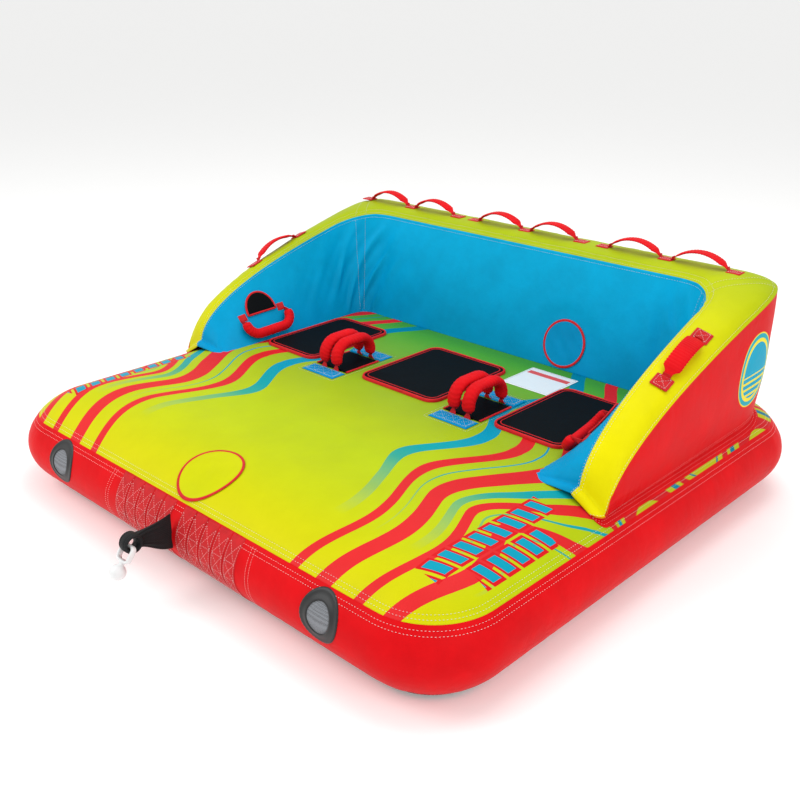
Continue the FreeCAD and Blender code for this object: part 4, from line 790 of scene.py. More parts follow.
def bound_edge(x_span, y_span, corner, base, width, rise):
    """A binding tape round a pad: a low arch in section, carried round a rounded rectangle."""
    half = np.array([x_span[1] - x_span[0], y_span[1] - y_span[0]]) / 2
    middle = (np.mean(x_span), np.mean(y_span))
    turn = np.linspace(0, np.pi, 9)
    outset = np.concatenate([(np.cos(turn) - 1) * width / 2, [0.0]])
    height = np.concatenate([base + rise * np.sin(turn) ** 0.6, [base]])
    grid = ring_grid(rim((40, 40), 10), half, corner, outset, height, None, middle)
    core = ring_grid(rim((40, 40), 10), half, corner, outset * 0 - width / 2, height * 0 + base
                     + rise * 0.3, None, middle)
    return shell(grid, True, inside=core)


pad_black = foam_cover("black_embossed_foam_cover", "#07090B")
red_tape = webbing_weave("red_binding_tape", "#D8141C", rib=0.0026, rough=0.5)
pad_edges, pad_rows = [], []
for pad_name, span in PAD_SPANS.items():
    inner = (span[0] + 0.004, span[1] - 0.004), (PAD_Y[0] + 0.004, PAD_Y[1] - 0.004)
    cushion = show(pad_name + "_cushion", plate(*inner, 0.036, DECK_TOP, 0.0078, 0.0022), pad_black,
                   stands_for=[pad_name])
    cushion.modifiers.new("rounding", "SUBSURF").levels = 1
    cushion.modifiers["rounding"].render_levels = 1
    pad_edges.append(bound_edge(span, PAD_Y, 0.040, DECK_TOP, 0.0085, 0.0098))
    wide = (span[0] + 0.016, span[1] - 0.016), (PAD_Y[0] + 0.016, PAD_Y[1] - 0.016)
    pad_edges.append(bound_edge(*wide, 0.026, DECK_TOP + 0.0070, 0.0030, 0.0022))
    half = np.array([span[1] - span[0], PAD_Y[1] - PAD_Y[0]]) / 2
    ring = ring_grid(rim((20, 20), 10), half, 0.040, [0.004], [DECK_TOP + 0.0006], None,
                     (np.mean(span), np.mean(PAD_Y)))[0]
    pad_rows.append((closed(ring), (0, 0, 1)))
show("seat_pad_edges", pad_edges, red_tape, stands_for=["seat_pad_bindings"])


# ---- deck handles ------------------------------------------------------------------------------
# Two pairs of handles in front of the pads. Each is red webbing inside a padded sleeve that
# gathers in small ruches, and it stands on its sewn feet. Blue patches cover the feet, and a black
# knuckle pad lies between them.
PAIR_X, HANDLE_SPREAD, HANDLE_Y = 0.273, 0.027, 0.029
PATCH_HALF = 0.071
HINGE_RISE = 0.018


def arch_path(half_span, bend, foot, top, count=90):
    """A path up one leg, round a quarter turn, across, round another and down, in the plane of
    its last two coordinates, as points and directions of travel."""
    turn = np.linspace(0, np.pi / 2, 24)
    leg = np.linspace(foot, top - bend, 14)[:-1]
    quarter_y = half_span - bend + bend * np.cos(turn)
    quarter_z = top - bend + bend * np.sin(turn)
    crown_y = np.linspace(half_span - bend, bend - half_span, 18)[1:-1]
    y = np.concatenate([np.full(13, half_span), quarter_y, crown_y, -quarter_y[::-1],
                        np.full(13, -half_span)])
    z = np.concatenate([leg, quarter_z, np.full(len(crown_y), top), quarter_z[::-1], leg[::-1]])
    run = np.concatenate([[0], np.cumsum(np.hypot(np.diff(y), np.diff(z)))])
    even = np.linspace(0, run[-1], count)
    points = np.stack([np.zeros(count), np.interp(even, run, y), np.interp(even, run, z)], 1)
    return points, travel(points), even


def carried(points, ahead, across, section):
    """A section carried along a path: each point plus the section's first coordinate across it
    and its second square to both. The section may change along the path."""
    across = np.broadcast_to(np.asarray(across, float), points.shape)
    up = np.cross(ahead, across)
    section = np.broadcast_to(section, (len(points),) + np.shape(section)[-2:])
    return (points[:, None] + section[..., :1] * across[:, None] + section[..., 1:] * up[:, None])


def oval(wide, thick, sides=22, square=1.0):
    """A closed oval section; square below one flattens its sides."""
    turn = np.linspace(0, 2 * np.pi, sides, endpoint=False)
    c, s = np.cos(turn), np.sin(turn)
    return np.stack([wide / 2 * np.sign(c) * np.abs(c) ** square,
                     thick / 2 * np.sign(s) * np.abs(s) ** square], 1)


def ruched(run, sides, pitch=0.0115, deep=0.024, phase=0.0):
    """Swell of a gathered sleeve: folds round it whose line wanders, tapering at both ends."""
    turn = np.linspace(0, 2 * np.pi, sides, endpoint=False)[None, :]
    line = run[:, None] + 0.0035 * np.sin(turn * 2 + run[:, None] / 0.021 + phase)
    folds = np.sin(2 * np.pi * line / pitch + phase + 1.1 * np.sin(run[:, None] / 0.017))
    end = np.minimum(run, run[-1] - run)[:, None]
    return (1 + deep * folds) * (0.72 + 0.28 * np.clip(end / 0.012, 0, 1) ** 0.5)


def lined_up(grid, origin, x_axis, z_axis):
    """A grid built at the origin, set in place by its own X and Z axes."""
    z = np.asarray(z_axis, float) / np.linalg.norm(z_axis)
    x = np.asarray(x_axis, float) - z * np.dot(x_axis, z)
    x = x / np.linalg.norm(x)
    return np.asarray(origin) + grid @ np.stack([x, np.cross(z, x), z])


def sleeve_and_strap(half_span, bend, foot, top, hinge, wide, thick, strap_wide, phase):
    """A ruched padded sleeve and its flat webbing, each as a grid, in the handle's own plane."""
    points, ahead, run = arch_path(half_span, bend, foot, top, 210)
    swell = ruched(run, 26, phase=phase)[..., None]
    sleeve = carried(points, ahead, (1, 0, 0), oval(wide, thick, 26)[None] * swell)
    points, ahead, run = arch_path(half_span, bend, hinge, top, 60)
    strap = carried(points, ahead, (1, 0, 0), oval(strap_wide, 0.0026, 12, 0.5))
    return (sleeve, sleeve.mean(1, keepdims=True)), (strap, strap.mean(1, keepdims=True))


red_sleeve = coated_cloth("red_sleeve_nylon", "#DC131B", thread=0.0014, crease=0.0007, depth=0.8,
                          rough=0.48)
blue_patch = coated_cloth("blue_patch_nylon", "#0087BF", depth=0.88, crease=0.0006)
handle_feet, patch_shells, patch_rows, knuckle_shells, edge_shells = [], [], [], [], []
for side, pair in ((-1, "right"), (1, "left")):
    for place, spot_name in ((1, "outer"), (-1, "inner")):
        label = f"deck_handle_{pair}_{spot_name}"
        spot = np.array([side * (PAIR_X + place * HANDLE_SPREAD), HANDLE_Y, DECK_TOP])
        (sleeve, core), (strap, strap_core) = sleeve_and_strap(
            0.074, 0.048, 0.024, 0.086, HINGE_RISE, 0.043, 0.030, 0.025, side + 2 * place)
        padded_sleeve = show(label + "_grip", shell(sleeve + spot, True, (True, True), core + spot),
                             red_sleeve, label, [label + "_sleeve"])
        show(label + "_strap", shell(strap + spot, True, (True, True), strap_core + spot),
             red_webbing, label, [label + "_webbing"])
        for end in (-1, 1):
            run = np.array([[0, -0.0752, 0.0185], [0, -0.0765, 0.008], [0, -0.0785, 0.0035],
                            [0, -0.084, 0.0020], [0, -0.126, 0.0016]]) * [1, end, 1]
            dense = read_off(run, range(5), np.linspace(0, 4, 26))
            ahead = travel(dense)
            narrow = np.interp(dense[:, 2], [0.003, 0.0185], [1.0, 0.36])[:, None, None]
            tape = carried(dense, ahead, (1, 0, 0), oval(0.025, 0.0024, 12, 0.5)[None]
                           * np.concatenate([narrow, narrow * 0 + 1], 2)) + spot
            handle_feet.append(rod(tape))
    low, high = side * PAIR_X - PATCH_HALF, side * PAIR_X + PATCH_HALF
    for end in (-1, 1):
        near, far = HANDLE_Y + end * 0.0795, HANDLE_Y + end * 0.1365
        spread = np.linspace(0, 1, 30)
        x, y = np.meshgrid(low + spread * (high - low), near + spread * (far - near))
        edge = np.minimum(np.minimum(x - low, high - x), np.minimum(np.abs(y - near),
                                                                    np.abs(far - y)))
        straps = sum(np.exp(-((x - side * PAIR_X - s * HANDLE_SPREAD) / 0.0125) ** 6)
                     for s in (-1, 1))
        under = straps * smooth((0.048 - np.abs(y - near)) / 0.012)
        z = DECK_TOP + 0.0010 + 0.0022 * smooth(edge / 0.004) + 0.0013 * under
        patch_shells.append(shell(np.stack([x, y, z], 2), inside=(np.mean([low, high]), near, 0.2)))
        for gap in (0.006, 0.010):
            a, b = low + gap, high - gap
            c, d = sorted((near, far))
            c, d = c + gap, d - gap
            box = np.array([(a, c), (b, c), (b, d), (a, d), (a, c)])
            dense = np.vstack([box[k] + np.linspace(0, 1, 12)[:, None] * (box[k + 1] - box[k])
                               for k in range(4)])
            patch_rows.append((np.column_stack([dense, np.full(len(dense), DECK_TOP + 0.0048)]),
                               (0, 0, 1)))
        cells = np.linspace(low + 0.010, high - 0.010, 4)
        for a, b in zip(cells, cells[1:]):
            for p, q in (((a, c), (b, d)), ((a, d), (b, c)), ((b, c), (b, d))):
                line = np.array(p) + np.linspace(0, 1, 12)[:, None] * (np.array(q) - np.array(p))
                patch_rows.append((np.column_stack([line, np.full(12, DECK_TOP + 0.0048)]),
                                   (0, 0, 1)))
    ring = ring_grid(rim((16, 24), 4), ((high - low) / 2 + 0.010, 0.146), 0.006, [0.0],
                     [DECK_TOP + 0.0006], None, (side * PAIR_X, HANDLE_Y))[0]
    patch_rows.append((closed(ring), (0, 0, 1)))
    y_span = (HANDLE_Y - 0.0709, HANDLE_Y + 0.0709)
    knuckle_shells.append(plate((low + 0.0065, high - 0.0065), y_span, 0.004, DECK_TOP, 0.0050,
                                0.0008))
    for x in (low + 0.0035, high - 0.0035):
        y = np.linspace(*y_span, 30)
        tape = carried(np.column_stack([np.full(30, x), y, np.full(30, DECK_TOP + 0.0030)]),
                       np.tile([0.0, 1.0, 0.0], (30, 1)), (1, 0, 0), oval(0.0075, 0.0058, 12))
        edge_shells.append(rod(tape))
handle_patches = show("handle_patch_cloth", patch_shells, blue_patch,
                      stands_for=["handle_patches"], wall=0.0009)
show("handle_patch_stitches", stitches(patch_rows, 0.006, 0.0009), white_thread)
deck_knuckles = show("deck_knuckle_cushions", knuckle_shells, pad_black,
                     stands_for=["deck_knuckle_pads"])


# ---- backrest covers ---------------------------------------------------------------------------
# The U-shaped backrest: blue nylon on the rider's side, a yellow band over the top, and red panels
# outside. The panels meet in gathered seams, and the seat side is creased at both rear corners.
NOSE_Y, NOSE_ROUND = -0.185, 0.024
CORNER_X, CORNER_Y = 0.580, 0.380
BAND_SWELL = 0.0223
BACK_VALVE_X, BACK_VALVE_RISE = 0.255, 0.082


def half_stations():
    """Places along one half of the U as rows of (y of the wing, corner angle, x of the back):
    close together at the nose and at both ends of the corner."""
    tip = NOSE_Y - NOSE_ROUND * np.sin(np.linspace(np.pi / 2, 0, 9))[:-1]
    wing = NOSE_Y + (CORNER_Y - NOSE_Y) * np.linspace(0, 1, 58) ** 1.4
    turn = (1 - np.cos(np.linspace(0, np.pi, 42)[1:])) * np.pi / 4
    back = np.linspace(CORNER_X, 0, 34)[1:]
    y = np.concatenate([tip, wing, np.full(len(turn) + len(back), CORNER_Y)])
    phi = np.concatenate([np.zeros(len(tip) + len(wing)), turn, np.full(len(back), np.pi / 2)])
    x = np.concatenate([np.full(len(tip) + len(wing) + len(turn), CORNER_X), back])
    return y, phi, x


def rounded_square(phi, x_reach, y_reach, square):
    """Plan curve of a rear corner: cosine and sine raised to two over square, times the reach."""
    c = np.abs(np.cos(phi)) ** (2 / square)
    s = np.abs(np.sin(phi)) ** (2 / square)
    return x_reach * np.where(phi >= np.pi / 2, 0, c), y_reach * np.where(phi > 0, s, 0)


def climb(y, base, top, run):
    """Height of a top seam: a lying parabola from the nose, level at the back."""
    return np.maximum(base + (top - base) * np.sqrt(np.clip((y - NOSE_Y) / run, 0, 1)),
                      base + 0.010)


def seams(y, phi, x):
    """The four seams of the backrest's section, inner foot to outer foot, and its heading."""
    inner_top = 0.775 - 0.066 * (y - NOSE_Y)
    reaches = ((0.636 - CORNER_X, 0.075, 2.5), (inner_top - CORNER_X, 0.177, 2.2),
               (0.857 - CORNER_X, 0.342, 6.0), (0.845 - CORNER_X, 0.310, 6.0))
    plan = []
    for x_reach, y_reach, square in reaches:
        dx, dy = rounded_square(phi, x_reach, y_reach, square)
        plan.append((np.where(phi >= np.pi / 2, x, CORNER_X + dx), y + dy))
    # The tip draws in to a rounded nose.
    nose = np.sqrt(np.clip(1 - ((NOSE_Y - y) / NOSE_ROUND) ** 2, 0, 1))
    nose = np.where(y < NOSE_Y, np.maximum(nose, 0.02), 1.0)
    plan = [(np.where(y < NOSE_Y, 0.745 + (px - 0.745) * (0.72 + 0.28 * nose), px), py)
            for px, py in plan]
    feet = [deck_z(*plan[k]) - 0.0015 for k in (0, 3)]
    tops = [climb(plan[1][1], feet[0] + 0.0025, 0.647, 0.726),
            climb(plan[2][1], feet[1] + 0.0025, 0.650, 0.894)]
    tops = [foot + (top - foot) * nose for top, foot in zip(tops, feet)]
    heights = (feet[0], tops[0], tops[1], feet[1])
    heading = np.stack([np.cos(phi), np.sin(phi), np.zeros_like(phi)], 1)
    return [np.stack([px, py, z], 1) for (px, py), z in zip(plan, heights)], heading, nose


def whole_u(half):
    """Both halves of a row of stations, from the left nose round to the right one."""
    other = half[..., ::-1, :] * [-1, 1, 1]
    return np.concatenate([half, other[..., 1:, :]], -2)


def band_surface(share, section, heading, nose):
    """The top band: straight between its seams, plus a swell of one less a power of the distance
    from its middle."""
    inner, outer = section[1], section[2]
    cross = outer - inner
    level = (cross * heading).sum(1)
    length = np.hypot(level, cross[:, 2])
    up = (-cross[:, 2] / length)[:, None] * heading
    up[:, 2] = level / length
    height = np.minimum(inner[:, 2] - section[0][:, 2], outer[:, 2] - section[3][:, 2])
    swell = BAND_SWELL * np.minimum(1, height / 0.120) * nose
    share = np.asarray(share, float)[:, None, None]
    return inner + share * cross + (1 - np.abs(2 * share - 1) ** 3.4) * swell[:, None] * up, up


stations = half_stations()
half_seams, half_heading, half_nose = seams(*stations)
half_run = np.concatenate([[0], np.cumsum(np.linalg.norm(
    np.diff((half_seams[0] + half_seams[1]) / 2, axis=0), axis=1))])
HALF_LENGTH = half_run[-1]
u_run = np.concatenate([half_run, 2 * HALF_LENGTH - half_run[::-1][1:]])
u_seams = [whole_u(seam) for seam in half_seams]
corner_share = np.exp(-((half_run - np.interp(np.pi / 4, stations[1], half_run)) / 0.17) ** 2)
u_corner = np.concatenate([corner_share, corner_share[::-1][1:]])
seam_angle = np.interp(np.pi / 4, stations[1], half_run)
seam_gap = np.minimum(np.abs(u_run - seam_angle), np.abs(u_run - (2 * HALF_LENGTH - seam_angle)))

# The seat side: folds that lean to the middle as they rise, deepest at the corners, and a
# stitched groove down each corner.
rise = np.concatenate([[0, .012, .03, .06], np.linspace(.1, .9, 26), [.94, .97, .99, 1]])
inner_grid = u_seams[0] + rise[:, None, None] * (u_seams[1] - u_seams[0])
inner_out = np.cross(np.gradient(inner_grid, axis=1), u_seams[1] - u_seams[0])
inner_out /= np.linalg.norm(inner_out, axis=2, keepdims=True)
facing = np.sign((inner_out * ([0, 0.1, 0.45] - inner_grid)).sum(2).mean())
inner_out *= facing
leaning = u_run[None] - 0.20 * rise[:, None] * np.tanh((HALF_LENGTH - u_run[None]) / 0.3)
wander = 2 * np.pi * leaning / 0.094 + 1.7 * np.sin(leaning / 0.11)
folds = (1.6 * np.exp(2.4 * np.sin(wander) - 2.4)
         * (0.4 + 0.6 * np.sin(leaning / 0.29 + 0.5) ** 2))
lean = 0.25 * np.sin(2 * np.pi * (leaning + 0.10 * rise[:, None]) / 0.057)
from_valve = np.linalg.norm(inner_grid - [BACK_VALVE_X, 0.478, 0.380], axis=2)
from_handle = np.minimum(*(np.linalg.norm(inner_grid - [s * 0.68, 0.018, 0.36], axis=2)
                           for s in (-1, 1)))
calm = smooth((from_valve - 0.085) / 0.06) * smooth((from_handle - 0.12) / 0.08)
fold_depth = (0.0018 + 0.0062 * u_corner[None]) * np.sin(np.pi * rise[:, None] ** 0.8)
shift = fold_depth * (folds + lean - 0.5) * calm
shift += 0.0050 * np.sin(np.pi * rise)[:, None] * calm * (np.abs(inner_grid[:, :, 0]) < 0.56)
shift -= 0.0060 * np.exp(-(seam_gap / 0.0055) ** 2)[None] * np.sin(np.pi * rise[:, None]) ** 0.3
slant = np.linalg.norm(u_seams[1] - u_seams[0], axis=1)
shift -= calm * gathers(u_run[None], (1 - rise[:, None]) * slant, 0.0040, 0.026, 0.027)
shift -= calm * gathers(u_run[None] + 0.3, rise[:, None] * slant, 0.0035, 0.022, 0.037)
inner_grid = inner_grid + inner_out * shift[..., None]


def blue_with_painted_shade(tree, place):
    """Blue that deepens towards the deck, as painted shade in the corner where the seat side meets
    it.
    """
    axes = add_node(tree, "ShaderNodeSeparateXYZ", {0: place.outputs["Object"]})
    # Painted shade: the blue darkens from 0.65 m down to 0.30 m, towards the deck.
    share = add_node(tree, "ShaderNodeMapRange", {"Value": axes.outputs[2], "From Min": 0.30,
                                                  "From Max": 0.65})
    return add_node(tree, "ShaderNodeValToRGB", {"Fac": share.outputs[0]},
                    stops=((0.0, linear("#0091C4")), (0.5, linear("#00A0D0")),
                           (1.0, linear("#00A8D8")))).outputs[0]


def yellow_print_and_painted_shade(tree, place):
    """Yellow at the left wing, lime along the crest, and painted shade that makes the right wing
    lime.
    """
    axes = add_node(tree, "ShaderNodeSeparateXYZ", {0: place.outputs["Object"]})
    share = add_node(tree, "ShaderNodeMapRange", {"Value": axes.outputs[1], "From Min": -0.20,
                                                  "From Max": 0.66})
    # Painted shade: a lime tint across X, nil at the left wing and strongest on the right wing.
    across = add_node(tree, "ShaderNodeMapRange", {"Value": axes.outputs[0], "From Min": 0.60,
                                                   "From Max": -0.80, "To Max": 0.55})
    share = add_node(tree, "ShaderNodeMath", {0: share.outputs[0], 1: across.outputs[0]},
                     operation="ADD", use_clamp=True)
    return add_node(tree, "ShaderNodeValToRGB", {"Fac": share.outputs[0]},
                    stops=((0.0, linear("#E2D803")), (0.45, linear("#D8D204")),
                           (0.8, linear("#B9C20C")), (1.0, linear("#A2B414")))).outputs[0]


def red_side_paint(tree, place):
    """Red with a plain printed oval on each side: teal within a yellow ring, over level bars."""
    axes = add_node(tree, "ShaderNodeSeparateXYZ", {0: place.outputs["Object"]})
    on_side = add_node(tree, "ShaderNodeMath", {0: axes.outputs[0]}, operation="ABSOLUTE")
    on_side = add_node(tree, "ShaderNodeMath", {0: on_side.outputs[0], 1: 0.835},
                       operation="GREATER_THAN")
    spans = []
    for axis, middle, half in ((1, 0.548, 0.098), (2, 0.432, 0.112)):
        centred = add_node(tree, "ShaderNodeMath", {0: axes.outputs[axis], 1: middle},
                           operation="SUBTRACT")
        share = add_node(tree, "ShaderNodeMath", {0: centred.outputs[0], 1: half},
                         operation="DIVIDE")
        spans.append(add_node(tree, "ShaderNodeMath", {0: share.outputs[0], 1: share.outputs[0]},
                              operation="MULTIPLY").outputs[0])
    square = add_node(tree, "ShaderNodeMath", {0: spans[0], 1: spans[1]}, operation="ADD")
    ring = add_node(tree, "ShaderNodeValToRGB", {"Fac": square.outputs[0]},
                    stops=((0.0, linear("#16A4C4")), (0.56, linear("#F0E23A")),
                           (0.72, linear("#1FA9B9")), (0.93, linear("#F0E23A")),
                           (0.999, linear("#DA0E15"))))
    ring.color_ramp.interpolation = "CONSTANT"
    bars = add_node(tree, "ShaderNodeMath", {0: axes.outputs[2], 1: 1 / 0.021},
                    operation="MULTIPLY")
    bars = add_node(tree, "ShaderNodeMath", {0: bars.outputs[0]}, operation="FRACT")
    bars = add_node(tree, "ShaderNodeMath", {0: bars.outputs[0], 1: 0.36}, operation="LESS_THAN")
    low = add_node(tree, "ShaderNodeMath", {0: axes.outputs[2], 1: 0.424}, operation="LESS_THAN")
    core = add_node(tree, "ShaderNodeMath", {0: square.outputs[0], 1: 0.56}, operation="LESS_THAN")
    for gate in (low, core):
        bars = add_node(tree, "ShaderNodeMath", {0: bars.outputs[0], 1: gate.outputs[0]},
                        operation="MULTIPLY")
    oval_print = add_node(tree, "ShaderNodeMix", {0: bars.outputs[0], 6: ring.outputs[0],
                                                  7: linear("#F0E23A")}, data_type="RGBA")
    shown = add_node(tree, "ShaderNodeMix", {0: on_side.outputs[0], 6: linear("#DA0E15"),
                                             7: oval_print.outputs[2]}, data_type="RGBA")
    return shown.outputs[2]


u_core = whole_u((half_seams[0] + half_seams[1] + half_seams[2] + half_seams[3]) / 4)
blue_nylon = coated_cloth("blue_coated_nylon", None, blue_with_painted_shade, crease=0.0014, depth=0.86)
inner_panel = show("backrest_seat_cover", shell(inner_grid, inside=u_core[None]), blue_nylon,
                   stands_for=["backrest_inner_panel"], wall=CLOTH_WALL)

# The top band: gathered along both seams, with a sewn groove across it at each corner.
over = np.concatenate([[0, .01, .03, .06, .1], np.linspace(.15, .85, 15), [.9, .94, .97, .99, 1]])
half_band, half_up = band_surface(over, half_seams, half_heading, half_nose)
band_up = whole_u(half_up)
band_grid = whole_u(half_band)
wide = np.linalg.norm(u_seams[2] - u_seams[1], axis=1)
dip = (gathers(u_run[None] + 0.1, over[:, None] * wide, 0.0042, 0.030, 0.029)
       + gathers(u_run[None] + 0.5, (1 - over[:, None]) * wide, 0.0036, 0.026, 0.033)
       + (1 - np.abs(2 * over - 1) ** 8)[:, None]
       * (0.0034 * np.exp(-(seam_gap / 0.0045) ** 2)
          + 0.0006 * (1 + np.sin(2 * np.pi * u_run / 0.21 + np.sin(u_run / 0.09))))[None])
band_grid -= dip[..., None] * band_up[None]
yellow_nylon = coated_cloth("yellow_coated_nylon", None, yellow_print_and_painted_shade, crease=0.0013, depth=0.92)
tip_core = u_core[None]
top_band = show("backrest_top_cover", shell(band_grid, inside=tip_core), yellow_nylon,
                stands_for=["backrest_top_panel"], wall=CLOTH_WALL)

# The outer panels: swollen a little on the sides, flat behind for the zipper.
outer_grid = u_seams[2] + (1 - rise[:, None, None]) * (u_seams[3] - u_seams[2])
outer_out = np.cross(np.gradient(outer_grid, axis=1), u_seams[3] - u_seams[2])
outer_out /= np.linalg.norm(outer_out, axis=2, keepdims=True)
outer_out *= np.sign((outer_out * (outer_grid - u_core[None])).sum(2).mean())
tall = np.linalg.norm(u_seams[3] - u_seams[2], axis=1)
beside = smooth((np.abs(outer_grid[:, :, 0]) - 0.70) / 0.12)
swell = 0.0085 * np.sin(np.pi * rise)[:, None] * np.minimum(1, tall / 0.20) * beside
swell -= gathers(u_run[None], (1 - rise[:, None]) * tall, 0.0036, 0.030, 0.032)
swell -= beside * gathers(u_run[None] + 0.2, rise[:, None] * tall, 0.0040, 0.026, 0.036)
wander = 2 * np.pi * (u_run[None] + 0.3 * rise[:, None]) / 0.19
swell += 0.0014 * beside * np.sin(np.pi * rise)[:, None] * np.sin(wander)
outer_grid = outer_grid + outer_out * swell[..., None]
red_panels = coated_cloth("red_printed_nylon", None, red_side_paint, crease=0.0014, depth=0.88)
columns = outer_grid.shape[1]
turn_left = int(np.argmin(np.abs(stations[1] - np.pi / 4)))
turn_right = columns - 1 - turn_left
for panel, cut, flat, area in (("left", slice(0, turn_left + 1), (0.36, 0.83), 0.215),
                               ("rear", slice(turn_left, turn_right + 1), (0.40, 1.72), None),
                               ("right", slice(turn_right, columns), (0.36, 0.83), 0.215)):
    outer = show(f"backrest_{panel}_cover", shell(outer_grid[:, cut],
                                                  inside=u_core[None, cut]), red_panels,
                 stands_for=[f"backrest_{panel}_panel"], wall=CLOTH_WALL)

# The hem sewn to the deck outside the backrest's foot.
foot_out = np.concatenate([half_heading, half_heading[::-1][1:] * [-1, 1, 1]])
hem_steps = np.array([-0.004, 0.002, 0.008, 0.014, 0.0195, 0.020])
foot_line = u_seams[3][None] + hem_steps[:, None, None] * foot_out[None]
hem_lift = np.array([0.0030, 0.0024, 0.0020, 0.0019, 0.0016, 0.0002])
foot_line[:, :, 2] = deck_z(foot_line[:, :, 0], foot_line[:, :, 1]) + hem_lift[:, None]
hem = show("backrest_hem_strip", shell(foot_line, inside=(0, 0, 0.1)), red_nylon,
           stands_for=["backrest_hem"], wall=0.0010)

backrest_rows, hem_rows = [], []
for step in (0.006, 0.014):
    line = u_seams[3] + step * foot_out
    line[:, 2] = deck_z(line[:, 0], line[:, 1]) + 0.0026
    hem_rows.append((line, (0, 0, 1)))
for share in (0.035, 0.055):
    line = u_seams[3] + share * (u_seams[2] - u_seams[3])
    line = line + outer_out[3] * (0.0012 + np.interp(share, rise, swell.mean(1)))
    hem_rows.append((line[8:-8], outer_out[3][8:-8]))
for share in (0.045, 0.085, 0.955):
    row = int(np.argmin(np.abs(over - share)))
    backrest_rows.append((band_grid[row] + band_up * 0.0009, band_up))
row = int(np.argmin(np.abs(rise - 0.97)))
backrest_rows.append((inner_grid[row] + inner_out[row] * 0.0009, inner_out[row]))
for column in (turn_left, turn_right):
    for shift_columns in (-2, 2):
        c = column + shift_columns
        backrest_rows.append((inner_grid[2:-2, c] + inner_out[2:-2, c] * 0.0009,
                              inner_out[2:-2, c]))
        backrest_rows.append((band_grid[2:-2, c] + band_up[c] * 0.0012, band_up[c]))
show("backrest_stitches", stitches(backrest_rows), white_thread)
show("backrest_hem_stitches", stitches(hem_rows), pink_thread)


# ---- side handles ------------------------------------------------------------------------------
# One padded handle on the inner face of each wing. It hangs in a U below a black half-oval
# knuckle pad, and stands off the panel on its sewn ends.
SIDE_Y, SIDE_RISE, SIDE_SPAN = 0.018, 0.078, 0.086


def on_inner_side(y, rise, lift=0.0):
    """Points on the left wing's inner panel: its foot at y, plus the rise along its slope, plus
    the lift square to it."""
    y, rise = np.broadcast_arrays(np.asarray(y, float), np.asarray(rise, float))
    foot = np.stack([np.full(y.shape, 0.636), y, deck_z(0.636, y) + 0.001], -1)
    top_x = 0.775 - 0.066 * (y - NOSE_Y)
    top = np.stack([top_x, y, climb(y, foot[..., 2], 0.647, 0.726)], -1)
    slope = (top - foot) / np.linalg.norm(top - foot, axis=-1, keepdims=True)
    off = np.stack([-slope[..., 2], 0 * y, slope[..., 0]], -1)
    return foot + slope * rise[..., None] + off * np.asarray(lift)[..., None]


side_spot = on_inner_side(SIDE_Y, SIDE_RISE)
side_up = on_inner_side(SIDE_Y, SIDE_RISE + 0.01) - side_spot
side_up /= np.linalg.norm(side_up)
side_along = on_inner_side(SIDE_Y + SIDE_SPAN, SIDE_RISE) - on_inner_side(SIDE_Y - SIDE_SPAN,
                                                                          SIDE_RISE)
side_along /= np.linalg.norm(side_along)
side_off = np.cross(side_up, side_along)
side_off *= -np.sign(side_off[0]) / np.linalg.norm(side_off)
side_down = np.cross(side_off, side_along)
side_down *= -np.sign(side_down[2])

side_pads = []
for side, wing in ((-1, "right"), (1, "left")):
    mirror = np.array([side, 1, 1])
    label = f"side_handle_{wing}"
    (sleeve, core), (strap, strap_core) = sleeve_and_strap(
        SIDE_SPAN, 0.040, 0.004, 0.052, 0.0, 0.030, 0.033, 0.018, 3.0 * side)
    for grid, middle, part, finish, finish_slot, node in (
            (sleeve, core, "_grip", red_sleeve, "red_cover", "_sleeve"),
            (strap, strap_core, "_strap", red_webbing, "red_webbing", "_webbing")):
        grid, middle = (lined_up(g + [0.019, 0, 0], side_spot, side_off, side_down) * mirror
                        for g in (grid, middle))
        handle = show(label + part, shell(grid, True, (True, True), middle), finish, label,
                      [label + node])
    for end in (-1, 1):
        reach_out = np.linspace(-0.002, 0.0205, 12)
        path = np.column_stack([reach_out, np.full(12, end * 0.0889),
                                -0.0075 * (1 - reach_out / 0.0205)])
        wide = np.interp(reach_out, [0, 0.0205], [0.019, 0.005])[:, None, None]
        ear = carried(path, np.tile([1.0, 0, 0], (12, 1)), (0, 0, 1),
                      oval(1.0, 1.0, 12, 0.5)[None] * np.concatenate([wide, wide * 0 + 0.0024], 2))
        ear = lined_up(ear, side_spot, side_off, side_down) * mirror
        handle_feet.append(rod(ear))
        a = end * np.linspace(0.0625, 0.0905, 8)[None, :] + SIDE_Y
        b = SIDE_RISE + np.linspace(0.008, 0.034, 8)[:, None]
        rounded = 0.0026 * np.ones((8, 8))
        rounded[[0, -1]] = rounded[:, [0, -1]] = 0.0002
        tab = on_inner_side(a, b, rounded) * mirror
        handle_feet.append(shell(tab, inside=(side * 0.75, 0, 0.3)))
    turn = np.linspace(0, np.pi, 40)
    outline_a = np.concatenate([0.058 * np.cos(turn), np.linspace(-0.058, 0.058, 24)[1:-1]])
    outline_b = np.concatenate([0.020 + 0.076 * np.sin(turn), np.full(22, 0.020)])
    scale = np.array([0.90, 0.90, 0.885, 0.85, 0.7, 0.5, 0.3, 0.15, 0.02])[:, None]
    lifts = np.array([0.0, 0.0035, 0.0050, 0.0056, 0.0060, 0.0062, 0.0063, 0.0063, 0.0063])
    pad = on_inner_side(SIDE_Y + scale * outline_a, SIDE_RISE + 0.050 + scale
                        * (outline_b - 0.050), np.broadcast_to(lifts[:, None],
                                                               (9, len(outline_a)))) * mirror
    side_pads.append(shell(pad, True, (True, True), inside=(side * 0.75, 0.018, 0.40)))
    edge = on_inner_side(SIDE_Y + 0.94 * outline_a, SIDE_RISE + 0.050 + 0.955
                         * (outline_b - 0.050), np.full(len(outline_a), 0.0032))
    edge = np.vstack([edge, edge[:2]])
    ahead = travel(edge)
    tape = carried(edge, ahead, np.cross(side_off, ahead), oval(0.0080, 0.0062, 12)) * mirror
    edge_shells.append(rod(tape))
